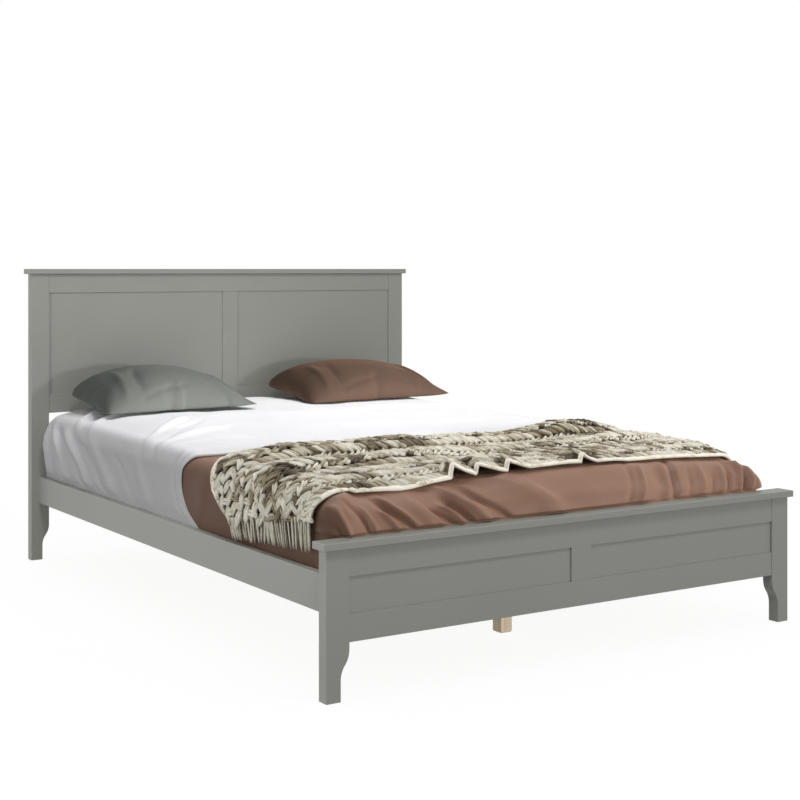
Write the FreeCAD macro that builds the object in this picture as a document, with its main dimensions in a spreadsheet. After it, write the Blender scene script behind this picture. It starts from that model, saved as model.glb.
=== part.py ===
"""Queen platform bed with panelled ends, a slatted base on a centre beam, and its bedding.

Lengths are millimetres, +Z is up and the floor is z = 0. The origin is the middle of the
bed's footprint, the foot is at -Y, the head at +Y, and left and right are as seen from the foot.
The two ends are frame and panel work: stub and through-the-groove tenons share the plane of
the panels, so each end's rails, stile, panels and post mortises are drawn about that plane.
"""
import FreeCAD, Part
import math
import os
import re
import Sketcher

# Driving dimensions
DIMENSIONS = (
    ("bed_width", 1650.0, "outer face of the left post to outer face of the right post"),
    ("frame_length", 2122.0, "outer face of the foot posts to rear face of the head posts"),
    ("head_height", 1074.0, "floor to top of the headboard cap"),
    ("foot_height", 398.0, "floor to top of the footboard cap"),
    ("post_depth", 36.0, "post along the bed"),
    ("post_width", 68.0, "post across the bed, above the leg"),
    ("leg_width", 42.5, "post across the bed, at the floor"),
    ("leg_curve_top", 128.0, "height where the leg starts to narrow"),
    ("leg_curve_foot", 53.0, "height where the leg is straight again"),
    ("leg_curve_radius", 61.5, "both arcs of the leg's S"),
    ("cap_thick", 19.0, "cap boards"),
    ("cap_depth", 60.0, "cap boards, along the bed"),
    ("cap_overhang", 13.0, "cap past the outer face of a post"),
    ("cap_ease", 1.5, "bevel of a cap's edges"),
    ("rail_thick", 24.0, "rails and stiles of the two ends"),
    ("rail_setback", 1.5, "front face of an end's rails behind the face of its posts"),
    ("end_rail_height", 70.0, "top rails, panel rail and footboard bottom rail"),
    ("panel_thick", 15.0, "panels, and the grooves and tenons that share their plane"),
    ("groove_depth", 8.0, "panel grooves, and the stub tenons in them"),
    ("panel_play", 1.0, "room left at the bottom of a panel groove"),
    ("tenon_length", 25.0, "rail tenons in the posts"),
    ("tenon_shoulder", 8.0, "top and bottom shoulder of a rail tenon"),
    ("head_stile_width", 66.0, "headboard middle stile"),
    ("foot_stile_width", 70.0, "footboard middle stile"),
    ("panel_rail_top", 610.0, "upper edge of the headboard's panel rail"),
    ("foot_rail_bottom", 145.0, "lower edge of the footboard's bottom rail"),
    ("side_rail_thick", 25.0, "side rails, across the bed"),
    ("side_rail_bottom", 209.0, "lower edge of the side rails and the headboard base rail"),
    ("side_rail_height", 97.5, "side rails and headboard base rail"),
    ("side_rail_inset", 29.0, "side rail's outer face behind the post's outer face"),
    ("board_ease", 2.0, "rounding of the side rails' long edges"),
    ("ledger_depth", 25.0, "ledgers, across the bed"),
    ("ledger_height", 30.0, "ledgers"),
    ("slat_top", 262.0, "floor to the upper face of the slats"),
    ("slat_thick", 18.0, "slats"),
    ("slat_width", 70.0, "slats, along the bed"),
    ("slat_count", 14.0, "slats"),
    ("slat_play", 3.0, "slat end to side rail"),
    ("slat_margin", 10.0, "first and last slat to the posts"),
    ("slat_ease", 3.0, "rounding of the slats' upper edges"),
    ("tape_width", 20.0, "tapes that space the slats"),
    ("tape_thick", 1.2, "tapes that space the slats"),
    ("tape_place", 480.0, "tape to the middle of the bed"),
    ("beam_width", 40.0, "centre beam, and the square support legs under it"),
    ("beam_height", 35.0, "centre beam"),
    ("leg_spacing", 710.0, "one support leg to the next"),
    ("leg_chamfer", 3.0, "bevel round the bottom of a support leg"),
    ("steel_thick", 2.0, "beam shoes"),
    ("shoe_depth", 40.0, "seat of a beam shoe, along the bed"),
    ("shoe_flange", 8.0, "screwed flange of a beam shoe"),
    ("hook_plate_width", 16.0, "bed rail fastener plates"),
    ("hook_plate_height", 80.0, "bed rail fastener plates"),
    ("hook_plate_thick", 2.5, "bed rail fastener plates"),
    ("hook_thick", 3.0, "hooks of the rail plates"),
    ("hook_reach", 6.5, "hook past the rail's end"),
    ("hook_neck", 10.0, "height of a hook's neck"),
    ("hook_drop", 6.0, "hook's lip below its neck"),
    ("hook_spacing", 36.0, "upper hook to lower hook"),
    ("mattress_width", 1524.0, "queen mattress"),
    ("mattress_length", 2018.0, "queen mattress, which passes between the two caps"),
    ("mattress_height", 235.0, "mattress under the weight of the bedding"),
    ("mattress_edge", 25.0, "bevel of the mattress's long edges"),
    ("mattress_corner", 50.0, "rounding of the mattress's corners"),
)

DOC = FreeCAD.newDocument("platform_bed")
SHEET = DOC.addObject("Spreadsheet::Sheet", "Bed")
ALIASES = {alias for alias, amount, meaning in DIMENSIONS}
PIECES = {}


def fill_sheet():
    """Write each driving dimension to a row of the sheet, with its alias."""
    for row, (alias, amount, meaning) in enumerate(DIMENSIONS, start=1):
        SHEET.set(f"A{row}", meaning)
        SHEET.set(f"B{row}", str(amount))
        SHEET.setAlias(f"B{row}", alias)
    DOC.recompute()


def linked(expression):
    """The expression with every alias pointed at the sheet."""
    return re.sub(r"[a-z]\w*", lambda word: "Bed." + word.group() if word.group() in ALIASES
                  else word.group(), expression)


def size(expression):
    """The number that an expression of aliases gives."""
    return float(SHEET.evalExpression(linked(expression)))


def bind(thing, prop, expression):
    """Tie a property of an object to an expression of aliases."""
    thing.setExpression(prop, linked(expression))


# Shared places, as expressions of the aliases
RAIL_PLANE = "(rail_setback + rail_thick / 2)"
FOOT_PLANE = f"(-frame_length / 2 + {RAIL_PLANE})"
HEAD_PLANE = f"(frame_length / 2 - post_depth + {RAIL_PLANE})"
POST_GAP = "(bed_width - 2 * post_width)"
HALF_BAY = "(frame_length / 2 - post_depth)"
RAIL_INNER = "(bed_width / 2 - side_rail_inset - side_rail_thick)"
RAIL_MIDDLE = "(bed_width / 2 - side_rail_inset - side_rail_thick / 2)"
FASTENER_HEIGHT = "(side_rail_bottom + side_rail_height / 2)"
SLAT_BOTTOM = "(slat_top - slat_thick)"
BEAM_BOTTOM = f"({SLAT_BOTTOM} - beam_height)"
MATTRESS_TOP = "(slat_top + mattress_height)"
HEAD_POST_TOP = "(head_height - cap_thick)"
FOOT_POST_TOP = "(foot_height - cap_thick)"


def new_body(label, x="0", y="0", z="0"):
    """An empty body whose place is tied to the sheet."""
    body = DOC.addObject("PartDesign::Body", label)
    body.Label = label
    for axis, expression in (("x", x), ("y", y), ("z", z)):
        bind(body, f"Placement.Base.{axis}", expression)
    return body


def arc_centre(start, end, radius):
    """Centre of the arc under a half circle; it lies left of the way for a positive radius."""
    chord = end - start
    apothem = math.sqrt(radius * radius - chord.Length ** 2 / 4)
    left = FreeCAD.Vector(-chord.y, chord.x, 0).normalize()
    return (start + end) / 2 + left * math.copysign(apothem, radius)


def outline(body, role, corners, offset="0"):
    """A closed sketch on one of the body's origin planes.

    A corner is (x, y) or (x, y, radius): the radius bends the edge that leaves it, about a
    centre on the left of the way if it is positive and on the right if it is negative.
    """
    sketch = body.newObject("Sketcher::SketchObject", f"{body.Name}_outline")
    plane = next(item for item in body.Origin.OriginFeatures if item.Role == role)
    sketch.AttachmentSupport = [(plane, "")]
    sketch.MapMode = "FlatFace"
    bind(sketch, "AttachmentOffset.Base.z", offset)
    places = [FreeCAD.Vector(size(corner[0]), size(corner[1]), 0) for corner in corners]
    starts = []
    for number, corner in enumerate(corners):
        start = places[number]
        end = places[(number + 1) % len(places)]
        starts.append(1)
        if len(corner) == 2:
            sketch.addGeometry(Part.LineSegment(start, end))
            continue
        radius = size(corner[2])
        centre = arc_centre(start, end, radius)
        circle = Part.Circle(centre, FreeCAD.Vector(0, 0, 1), abs(radius))
        first, last = (start, end) if radius > 0 else (end, start)
        sketch.addGeometry(Part.ArcOfCircle(circle, circle.parameter(first), circle.parameter(last)))
        starts[-1] = 1 if radius > 0 else 2
    for number, corner in enumerate(corners):
        following = (number + 1) % len(corners)
        sketch.addConstraint(Sketcher.Constraint(
            "Coincident", number, 3 - starts[number], following, starts[following]))
        for axis, kind, line in ((0, "DistanceX", -2), (1, "DistanceY", -1)):
            if corner[axis] == "0":
                sketch.addConstraint(Sketcher.Constraint(
                    "PointOnObject", number, starts[number], line))
                continue
            place = places[number][axis]
            index = sketch.addConstraint(Sketcher.Constraint(
                kind, -1, 1, number, starts[number], place))
            bind(sketch, f"Constraints[{index}]", corner[axis])
        if len(corner) == 3:
            index = sketch.addConstraint(Sketcher.Constraint("Radius", number, abs(size(corner[2]))))
            bind(sketch, f"Constraints[{index}]", corner[2].lstrip("-"))
    return sketch


def box_corners(low_x, low_y, high_x, high_y):
    """Corners of an upright rectangle."""
    return ((low_x, low_y), (high_x, low_y), (high_x, high_y), (low_x, high_y))


def pad(body, sketch, length, side_type="Symmetric", reverse=False):
    """Raise a sketch, by default by half the length on each side of its plane."""
    feature = body.newObject("PartDesign::Pad", f"{body.Name}_pad")
    feature.Profile = sketch
    feature.SideType = side_type
    feature.Reversed = reverse
    bind(feature, "Length", length)
    return feature


def pocket(body, sketch, length):
    """Cut a sketch away by half the length on each side of its plane."""
    DOC.recompute()
    before = body.Shape.Volume
    feature = body.newObject("PartDesign::Pocket", f"{body.Name}_pocket")
    feature.Profile = sketch
    feature.SideType = "Symmetric"
    bind(feature, "Length", length)
    DOC.recompute()
    if body.Shape.Volume >= before:
        raise RuntimeError(f"a pocket of {body.Label} cuts nothing")
    return feature


def dress_edges(body, kind, amount, wanted):
    """Fillet or chamfer the edges of the body's last feature that a test picks."""
    DOC.recompute()
    base = body.Tip
    names = [f"Edge{number}" for number, edge in enumerate(base.Shape.Edges, start=1) if wanted(edge)]
    feature = body.newObject(f"PartDesign::{kind}", f"{body.Name}_{kind.lower()}")
    feature.Base = (base, names)
    bind(feature, "Radius" if kind == "Fillet" else "Size", amount)
    return feature


def runs_along(axis, least):
    """A test for straight edges along an axis that are at least so long."""
    def test(edge):
        way = edge.Vertexes[-1].Point - edge.Vertexes[0].Point
        return edge.Length >= least and abs(abs(way.dot(axis)) - edge.Length) < 1e-6
    return test


ALONG_X = FreeCAD.Vector(1, 0, 0)
ALONG_Y = FreeCAD.Vector(0, 1, 0)
ALONG_Z = FreeCAD.Vector(0, 0, 1)


def placed_copies(label, shape, placements):
    """One group of copies of a shape, as separate solids."""
    group = DOC.addObject("Part::Feature", label)
    group.Label = label
    copies = []
    for placement in placements:
        copy = shape.copy()
        copy.Placement = placement
        copies.append(copy)
    group.Shape = Part.makeCompound(copies)
    return group


def seated(label, blank, *groups):
    """The blank with a seat cut for each group of fasteners that enters it."""
    result = blank
    for group in groups:
        cut = DOC.addObject("Part::Cut", f"{label}_seat")
        cut.Base = result
        cut.Tool = group
        result = cut
    if groups:
        blank.Label = f"{label}_blank"
        result.Label = label
    PIECES[label] = result
    return result


def keep(label, thing):
    """Count an object among the pieces that are written."""
    PIECES[label] = thing
    return thing


def through_rings(rings):
    """A solid with flat sides between rings of as many points, whose sides are parallel."""
    faces = [Part.Face(Part.makePolygon(ring + ring[:1])) for ring in (rings[0], rings[-1])]
    for upper, lower in zip(rings, rings[1:]):
        for number in range(len(upper)):
            after = (number + 1) % len(upper)
            corners = [upper[number], upper[after], lower[after], lower[number], upper[number]]
            faces.append(Part.Face(Part.makePolygon(corners)))
    solid = Part.makeSolid(Part.makeShell(faces))
    if solid.Volume < 0:
        solid.reverse()
    return solid


# Fasteners
def turned(levels, sides):
    """A turned pin with a few flats, from its (height, radius) levels, the highest first."""
    turns = [2 * math.pi * number / sides for number in range(sides)]
    return through_rings([[FreeCAD.Vector(radius * math.cos(turn), radius * math.sin(turn), height)
                           for turn in turns] for height, radius in levels])


def screw(length, shank, head):
    """A countersunk screw, its head's top at the origin, pointing down."""
    neck = (head - shank) / 2
    return turned(((0, head / 2), (-neck, shank / 2), (-length, shank / 2)), SCREW_SIDES)


def dowel(length, width):
    """An upright dowel about the origin."""
    return turned(((length / 2, width / 2), (-length / 2, width / 2)), DOWEL_SIDES)


def facing(place, way):
    """Placement that points a downward fastener along a way."""
    return FreeCAD.Placement(place, FreeCAD.Rotation(FreeCAD.Vector(0, 0, -1), way))


SCREW_SIDES = 6
DOWEL_SIDES = 10
WOOD_SCREW = screw(length=38, shank=4, head=8)
PLATE_SCREW = screw(length=16, shank=3, head=6)
CAP_DOWEL = dowel(length=30, width=8)
LEG_DOWEL = dowel(length=56, width=12)
LEDGER_SCREWS_A_SIDE = 6
CAP_DOWEL_PLACES = (-600, -250, 250, 600)
PLATE_SCREW_HEIGHTS = (-34, 3.5)
SHOE_SCREW_HEIGHTS = (16, 28)


def ledger_screws():
    """Screws that hold the ledgers to the side rails, heads on the ledgers' inner faces."""
    face = size(f"{RAIL_INNER} - ledger_depth")
    height = size(f"{SLAT_BOTTOM} - ledger_height / 2")
    step = size(f"2 * {HALF_BAY}") / LEDGER_SCREWS_A_SIDE
    placements = []
    for side in (-1, 1):
        for number in range(LEDGER_SCREWS_A_SIDE):
            along = (number - (LEDGER_SCREWS_A_SIDE - 1) / 2) * step
            placements.append(facing(FreeCAD.Vector(side * face, along, height), ALONG_X * side))
    return keep("ledger_screws", placed_copies("ledger_screws", WOOD_SCREW, placements))


def slat_screws(end_slats):
    """Screws through both ends of the first and the last slat."""
    across = size(f"{RAIL_INNER} - ledger_depth / 2")
    top = size("slat_top")
    placements = [facing(FreeCAD.Vector(side * across, along, top), -ALONG_Z)
                  for along in end_slats for side in (-1, 1)]
    return keep("slat_screws", placed_copies("slat_screws", WOOD_SCREW, placements))


def shoe_screws():
    """Two screws through each flange of the two beam shoes."""
    across = size("beam_width / 2 + steel_thick + shoe_flange / 2")
    foot_face = size(f"{FOOT_PLANE} + rail_thick / 2 + steel_thick")
    head_face = size(f"{HEAD_PLANE} - rail_thick / 2 - steel_thick")
    base = size(BEAM_BOTTOM)
    placements = []
    for face, way in ((foot_face, -ALONG_Y), (head_face, ALONG_Y)):
        for side in (-1, 1):
            for up in SHOE_SCREW_HEIGHTS:
                placements.append(facing(FreeCAD.Vector(side * across, face, base + up), way))
    return keep("shoe_screws", placed_copies("shoe_screws", PLATE_SCREW, placements))


def plate_screws():
    """Screws of the catch plates, into the posts, and of the hook plates, into the rails."""
    across = size(RAIL_MIDDLE)
    bay = size(HALF_BAY)
    middle = size(FASTENER_HEIGHT)
    placements = []
    for side in (-1, 1):
        for end in (-1, 1):
            for up in PLATE_SCREW_HEIGHTS:
                place = FreeCAD.Vector(side * across, end * bay, middle + up)
                placements.append(facing(place, ALONG_Y * end))
                placements.append(facing(place, ALONG_Y * -end))
    return keep("plate_screws", placed_copies("plate_screws", PLATE_SCREW, placements))


def cap_dowels():
    """Dowels between the caps and the top rails."""
    placements = []
    for plane, height in ((FOOT_PLANE, FOOT_POST_TOP), (HEAD_PLANE, HEAD_POST_TOP)):
        for across in CAP_DOWEL_PLACES:
            place = FreeCAD.Vector(across, size(plane), size(height) - size("cap_thick") / 8)
            placements.append(FreeCAD.Placement(place, FreeCAD.Rotation()))
    return keep("cap_dowels", placed_copies("cap_dowels", CAP_DOWEL, placements))


def leg_dowels(leg_places):
    """Dowels between the beam and its support legs."""
    placements = [FreeCAD.Placement(FreeCAD.Vector(0, along, size(BEAM_BOTTOM)), FreeCAD.Rotation())
                  for along in leg_places]
    return keep("leg_dowels", placed_copies("leg_dowels", LEG_DOWEL, placements))


# Bed rail fasteners, drawn about the joint plane with +Y into the post
def hook_centres():
    """Heights of the two hooks about the middle of the side rail."""
    return ("-hook_spacing / 2", "hook_spacing / 2")


def hook_plate():
    """Steel plate in the rail's end, with two hooks that drop behind the catch plate."""
    body = new_body("hook_plate_master")
    edges = box_corners("-hook_plate_thick", "-hook_plate_height / 2", "0", "hook_plate_height / 2")
    pad(body, outline(body, "YZ_Plane", edges), "hook_plate_width")
    for centre in hook_centres():
        heel = "hook_plate_thick + 0.1"
        top = f"{centre} + hook_neck * 0.8"
        seat = f"{centre} - hook_neck * 0.2"
        hook = (("-hook_plate_thick / 2", seat),
                (heel, seat),
                (heel, f"{seat} - hook_drop"),
                ("hook_reach", f"{seat} - hook_drop"),
                ("hook_reach", f"{top} - hook_thick", "hook_thick"),
                ("hook_reach - hook_thick", top),
                ("-hook_plate_thick / 2", top))
        pad(body, outline(body, "YZ_Plane", hook), "hook_thick")
    return body


def catch_plate():
    """Steel plate in the post, with a slot for each hook to rest in."""
    body = new_body("catch_plate_master")
    edges = box_corners("0", "-hook_plate_height / 2", "hook_plate_thick", "hook_plate_height / 2")
    pad(body, outline(body, "YZ_Plane", edges), "hook_plate_width")
    for centre in hook_centres():
        slot = box_corners("-1", f"{centre} - hook_neck * 0.2",
                           "hook_plate_thick + 1", f"{centre} + hook_neck * 1.5")
        pocket(body, outline(body, "YZ_Plane", slot), "hook_thick + 0.6")
    return body


def fastener_plates(screws):
    """The four hook plates and the four catch plates where the side rails meet the posts."""
    placements = []
    for side in (-1, 1):
        for end in (-1, 1):
            place = FreeCAD.Vector(side * size(RAIL_MIDDLE), end * size(HALF_BAY), size(FASTENER_HEIGHT))
            turn = FreeCAD.Rotation(ALONG_Z, 0 if end > 0 else 180)
            placements.append(FreeCAD.Placement(place, turn))
    for label, master in (("rail_hook_plates", hook_plate()), ("post_catch_plates", catch_plate())):
        DOC.recompute()
        seated(label, placed_copies(f"{label}_set", master.Shape, placements), screws)


# Frame and panel ends
def post(label, side, plane, top, low_rail, rails, bed_face, screws):
    """A post with its S-curved leg, rail mortises, panel groove and fastener mortise.

    Side is -1 for the left and 1 for the right; the outline is drawn from the outer face
    inwards. Rails are the (bottom, height) pairs of the rails that are tenoned into it.
    """
    inward = -side
    body = new_body(label, f"{side} * bed_width / 2", plane)
    waist = "(leg_curve_top + leg_curve_foot) / 2"
    bend = "leg_curve_radius" if inward > 0 else "-leg_curve_radius"
    back_bend = "-leg_curve_radius" if inward > 0 else "leg_curve_radius"
    corners = (("0", "0"),
               (f"{inward} * leg_width", "0"),
               (f"{inward} * leg_width", "leg_curve_foot", back_bend),
               (f"{inward} * (leg_width + post_width) / 2", waist, bend),
               (f"{inward} * post_width", "leg_curve_top"),
               (f"{inward} * post_width", top),
               ("0", top))
    sketch = outline(body, "XZ_Plane", corners, RAIL_PLANE)
    pad(body, sketch, "post_depth", side_type="One side", reverse=True)
    DOC.recompute()
    near = f"{inward} * (post_width - tenon_length)"
    groove = f"{inward} * (post_width - groove_depth)"
    edge = f"{inward} * (post_width + 1)"
    for bottom, height in rails:
        mortise = box_corners(near, f"{bottom} + tenon_shoulder",
                              edge, f"{bottom} + {height} - tenon_shoulder")
        pocket(body, outline(body, "XZ_Plane", mortise), "panel_thick")
    pocket(body, outline(body, "XZ_Plane", box_corners(groove, low_rail, edge, top)), "panel_thick")
    face, into = bed_face
    middle = f"{inward} * (side_rail_inset + side_rail_thick / 2)"
    recess = box_corners(f"{face} - {into} * 1", f"{FASTENER_HEIGHT} - hook_plate_height / 2",
                         f"{face} + {into} * hook_plate_thick",
                         f"{FASTENER_HEIGHT} + hook_plate_height / 2")
    pocket(body, outline(body, "YZ_Plane", recess, middle), "hook_plate_width")
    for centre in hook_centres():
        cavity = box_corners(f"{face} + {into} * hook_plate_thick / 2",
                             f"{FASTENER_HEIGHT} + {centre} - hook_drop - hook_neck * 0.3",
                             f"{face} + {into} * (hook_reach + 2)",
                             f"{FASTENER_HEIGHT} + {centre} + hook_neck * 1.5")
        pocket(body, outline(body, "YZ_Plane", cavity, middle), "hook_thick * 2")
    return seated(label, body, screws)


def rail(label, plane, bottom, height, grooved=(), fasteners=()):
    """A rail between the posts, tenoned at both ends and grooved for the panels."""
    body = new_body(label, "0", plane, bottom)
    half = f"{POST_GAP} / 2"
    board = box_corners(f"-{half}", "0", half, height)
    pad(body, outline(body, "XZ_Plane", board), "rail_thick")
    reach = f"({half} + tenon_length)"
    tongue = box_corners(f"-{reach}", "tenon_shoulder", reach, f"{height} - tenon_shoulder")
    pad(body, outline(body, "XZ_Plane", tongue), "panel_thick")
    DOC.recompute()
    grooves = {"top": (f"{height} - groove_depth", f"{height} + 1"), "bottom": ("-1", "groove_depth")}
    for edge in grooved:
        low, high = grooves[edge]
        pocket(body, outline(body, "XZ_Plane", box_corners(f"-{half}", low, half, high)), "panel_thick")
    return seated(label, body, *fasteners)


def mid_stile(label, plane, width, bottom, top, fasteners=()):
    """The upright between two panels: stub tenons in the rails, grooves in both edges."""
    body = new_body(label, "0", plane)
    half = f"{width} / 2"
    board = box_corners(f"-{half}", bottom, half, top)
    pad(body, outline(body, "XZ_Plane", board), "rail_thick")
    stub = box_corners(f"-{half}", f"{bottom} - groove_depth", half, f"{top} + groove_depth")
    pad(body, outline(body, "XZ_Plane", stub), "panel_thick")
    DOC.recompute()
    for side in (-1, 1):
        groove = box_corners(f"{side} * ({half} - groove_depth)", f"{bottom} - groove_depth - 1",
                             f"{side} * ({half} + 1)", f"{top} + groove_depth + 1")
        pocket(body, outline(body, "XZ_Plane", groove), "panel_thick")
    return seated(label, body, *fasteners)


def panel(label, side, plane, stile_width, bottom, top):
    """A flat panel, held on four sides with a little room in its grooves."""
    body = new_body(label, "0", plane)
    lip = "(groove_depth - panel_play)"
    low, high = f"{side} * ({stile_width} / 2 - {lip})", f"{side} * ({POST_GAP} / 2 + {lip})"
    edges = box_corners(low, f"{bottom} - {lip}", high, f"{top} + {lip}")
    pad(body, outline(body, "XZ_Plane", edges), "panel_thick")
    return keep(label, body)


def cap(label, end, underside, dowels):
    """The square-edged board along the top of an end, with eased edges."""
    body = new_body(label, "0", f"{end} * (frame_length / 2 - post_depth / 2)", underside)
    half = "(bed_width / 2 + cap_overhang)"
    face = box_corners(f"-{half}", "-cap_depth / 2", half, "cap_depth / 2")
    pad(body, outline(body, "XY_Plane", face), "cap_thick", side_type="One side")
    dress_edges(body, "Chamfer", "cap_ease", lambda edge: True)
    return seated(label, body, dowels)


def headboard(screws, shoe_screw_set, dowels):
    """Posts, three rails, stile, two panels and cap."""
    top_rail = f"({HEAD_POST_TOP} - end_rail_height)"
    panel_rail = "(panel_rail_top - end_rail_height)"
    rails = ((top_rail, "end_rail_height"), (panel_rail, "end_rail_height"),
             ("side_rail_bottom", "side_rail_height"))
    bed_face = (f"-{RAIL_PLANE}", "1")
    for name, side in (("left", -1), ("right", 1)):
        post(f"headboard_{name}_post", side, HEAD_PLANE, HEAD_POST_TOP, panel_rail, rails,
             bed_face, screws)
        panel(f"headboard_{name}_panel", side, HEAD_PLANE, "head_stile_width", "panel_rail_top",
              top_rail)
    rail("headboard_top_rail", HEAD_PLANE, top_rail, "end_rail_height", ("bottom",), (dowels,))
    rail("headboard_panel_rail", HEAD_PLANE, panel_rail, "end_rail_height", ("top",))
    rail("headboard_base_rail", HEAD_PLANE, "side_rail_bottom", "side_rail_height", (),
         (shoe_screw_set,))
    mid_stile("headboard_mid_stile", HEAD_PLANE, "head_stile_width", "panel_rail_top", top_rail)
    cap("headboard_cap", 1, HEAD_POST_TOP, dowels)


def footboard(screws, shoe_screw_set, dowels):
    """Posts, two rails, stile, two panels and cap."""
    top_rail = f"({FOOT_POST_TOP} - end_rail_height)"
    opening_low = "(foot_rail_bottom + end_rail_height)"
    rails = ((top_rail, "end_rail_height"), ("foot_rail_bottom", "end_rail_height"))
    bed_face = (f"(post_depth - {RAIL_PLANE})", "-1")
    for name, side in (("left", -1), ("right", 1)):
        post(f"footboard_{name}_post", side, FOOT_PLANE, FOOT_POST_TOP, "foot_rail_bottom", rails,
             bed_face, screws)
        panel(f"footboard_{name}_panel", side, FOOT_PLANE, "foot_stile_width", opening_low, top_rail)
    rail("footboard_top_rail", FOOT_PLANE, top_rail, "end_rail_height", ("bottom",), (dowels,))
    rail("footboard_bottom_rail", FOOT_PLANE, "foot_rail_bottom", "end_rail_height", ("top",))
    mid_stile("footboard_mid_stile", FOOT_PLANE, "foot_stile_width", opening_low, top_rail,
              (shoe_screw_set,))
    cap("footboard_cap", -1, FOOT_POST_TOP, dowels)


# Side rails and slatted base
def side_rail(name, side, ledger_screw_set, plate_screw_set):
    """A side rail with eased edges and a mortise for a hook plate in each end."""
    label = f"{name}_side_rail"
    body = new_body(label, f"{side} * {RAIL_MIDDLE}", "0", "side_rail_bottom")
    board = box_corners(f"-{HALF_BAY}", "0", HALF_BAY, "side_rail_height")
    pad(body, outline(body, "YZ_Plane", board), "side_rail_thick")
    dress_edges(body, "Fillet", "board_ease", runs_along(ALONG_Y, size(HALF_BAY)))
    DOC.recompute()
    for end in (-1, 1):
        low = "side_rail_height / 2 - hook_plate_height / 2"
        high = "side_rail_height / 2 + hook_plate_height / 2"
        recess = box_corners(f"{end} * ({HALF_BAY} - hook_plate_thick)", low,
                             f"{end} * ({HALF_BAY} + 1)", high)
        pocket(body, outline(body, "YZ_Plane", recess), "hook_plate_width")
    return seated(label, body, ledger_screw_set, plate_screw_set)


def slat_ledger(name, side, rail_screws, slat_screw_set):
    """The batten inside a side rail that carries the slats."""
    label = f"{name}_slat_ledger"
    body = new_body(label, f"{side} * ({RAIL_INNER} - ledger_depth / 2)", "0",
                    f"{SLAT_BOTTOM} - ledger_height")
    reach = f"({HALF_BAY} - slat_margin / 2)"
    pad(body, outline(body, "YZ_Plane", box_corners(f"-{reach}", "0", reach, "ledger_height")),
        "ledger_depth")
    return seated(label, body, rail_screws, slat_screw_set)


def slat_places():
    """Middle of each slat along the bed, as expressions."""
    count = int(size("slat_count"))
    first = f"({HALF_BAY} - slat_margin - slat_width / 2)"
    return [f"{first} * {2 * number - (count - 1)} / {count - 1}" for number in range(count)]


def slat(number, place, fasteners=()):
    """One slat, its upper long edges rounded."""
    label = f"slat_{number:02d}"
    body = new_body(label, "0", place, SLAT_BOTTOM)
    half = f"({RAIL_INNER} - slat_play)"
    face = box_corners(f"-{half}", "0", half, "slat_thick")
    pad(body, outline(body, "XZ_Plane", face), "slat_width")
    long_edge = runs_along(ALONG_X, size(half))
    dress_edges(body, "Fillet", "slat_ease",
                lambda edge: long_edge(edge) and edge.CenterOfMass.z > size("slat_thick") / 2)
    return seated(label, body, *fasteners)


def slat_tape(name, side):
    """A woven tape along the underside of the slats that keeps them apart."""
    body = new_body(f"{name}_slat_tape", f"{side} * tape_place", "0", f"{SLAT_BOTTOM} - tape_thick")
    reach = f"({HALF_BAY} - slat_margin)"
    pad(body, outline(body, "YZ_Plane", box_corners(f"-{reach}", "0", reach, "tape_thick")),
        "tape_width")
    return keep(body.Label, body)


def centre_beam(dowels):
    """The beam under the middle of the slats, shoe to shoe."""
    body = new_body("centre_beam", "0", "0", BEAM_BOTTOM)
    foot_end = f"({FOOT_PLANE} + rail_thick / 2)"
    head_end = f"({HEAD_PLANE} - rail_thick / 2)"
    pad(body, outline(body, "YZ_Plane", box_corners(foot_end, "0", head_end, "beam_height")),
        "beam_width")
    return seated("centre_beam", body, dowels)


def support_leg(label, place, dowels):
    """A square leg under the beam, bevelled round its foot."""
    body = new_body(label, "0", place)
    half = "beam_width / 2"
    pad(body, outline(body, "XY_Plane", box_corners(f"-{half}", f"-{half}", half, half)),
        BEAM_BOTTOM, side_type="One side")
    dress_edges(body, "Chamfer", "leg_chamfer", lambda edge: edge.BoundBox.ZMax < 1)
    return seated(label, body, dowels)


def beam_shoe():
    """A folded steel shoe about the beam's end: seat, two cheeks and two screwed flanges."""
    body = new_body("beam_shoe_master")
    inner, outer = "beam_width / 2", "(beam_width / 2 + steel_thick)"
    tray = ((f"-{outer}", "-steel_thick"), (outer, "-steel_thick"), (outer, "beam_height"),
            (inner, "beam_height"), (inner, "0"), (f"-{inner}", "0"), (f"-{inner}", "beam_height"),
            (f"-{outer}", "beam_height"))
    pad(body, outline(body, "XZ_Plane", tray), "shoe_depth", side_type="One side", reverse=True)
    for side in (-1, 1):
        flange = box_corners(f"{side} * {inner}", "0", f"{side} * ({outer} + shoe_flange)",
                             "beam_height")
        pad(body, outline(body, "XZ_Plane", flange), "steel_thick", side_type="One side", reverse=True)
    DOC.recompute()
    return body.Shape


def beam_shoes(screws):
    """The shoe on the footboard's stile and the shoe on the headboard's base rail."""
    shape = beam_shoe()
    base = size(BEAM_BOTTOM)
    foot = FreeCAD.Vector(0, size(f"{FOOT_PLANE} + rail_thick / 2"), base)
    head = FreeCAD.Vector(0, size(f"{HEAD_PLANE} - rail_thick / 2"), base)
    placements = (FreeCAD.Placement(foot, FreeCAD.Rotation()),
                  FreeCAD.Placement(head, FreeCAD.Rotation(ALONG_Z, 180)))
    return seated("beam_shoes", placed_copies("beam_shoe_set", shape, placements), screws)


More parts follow.
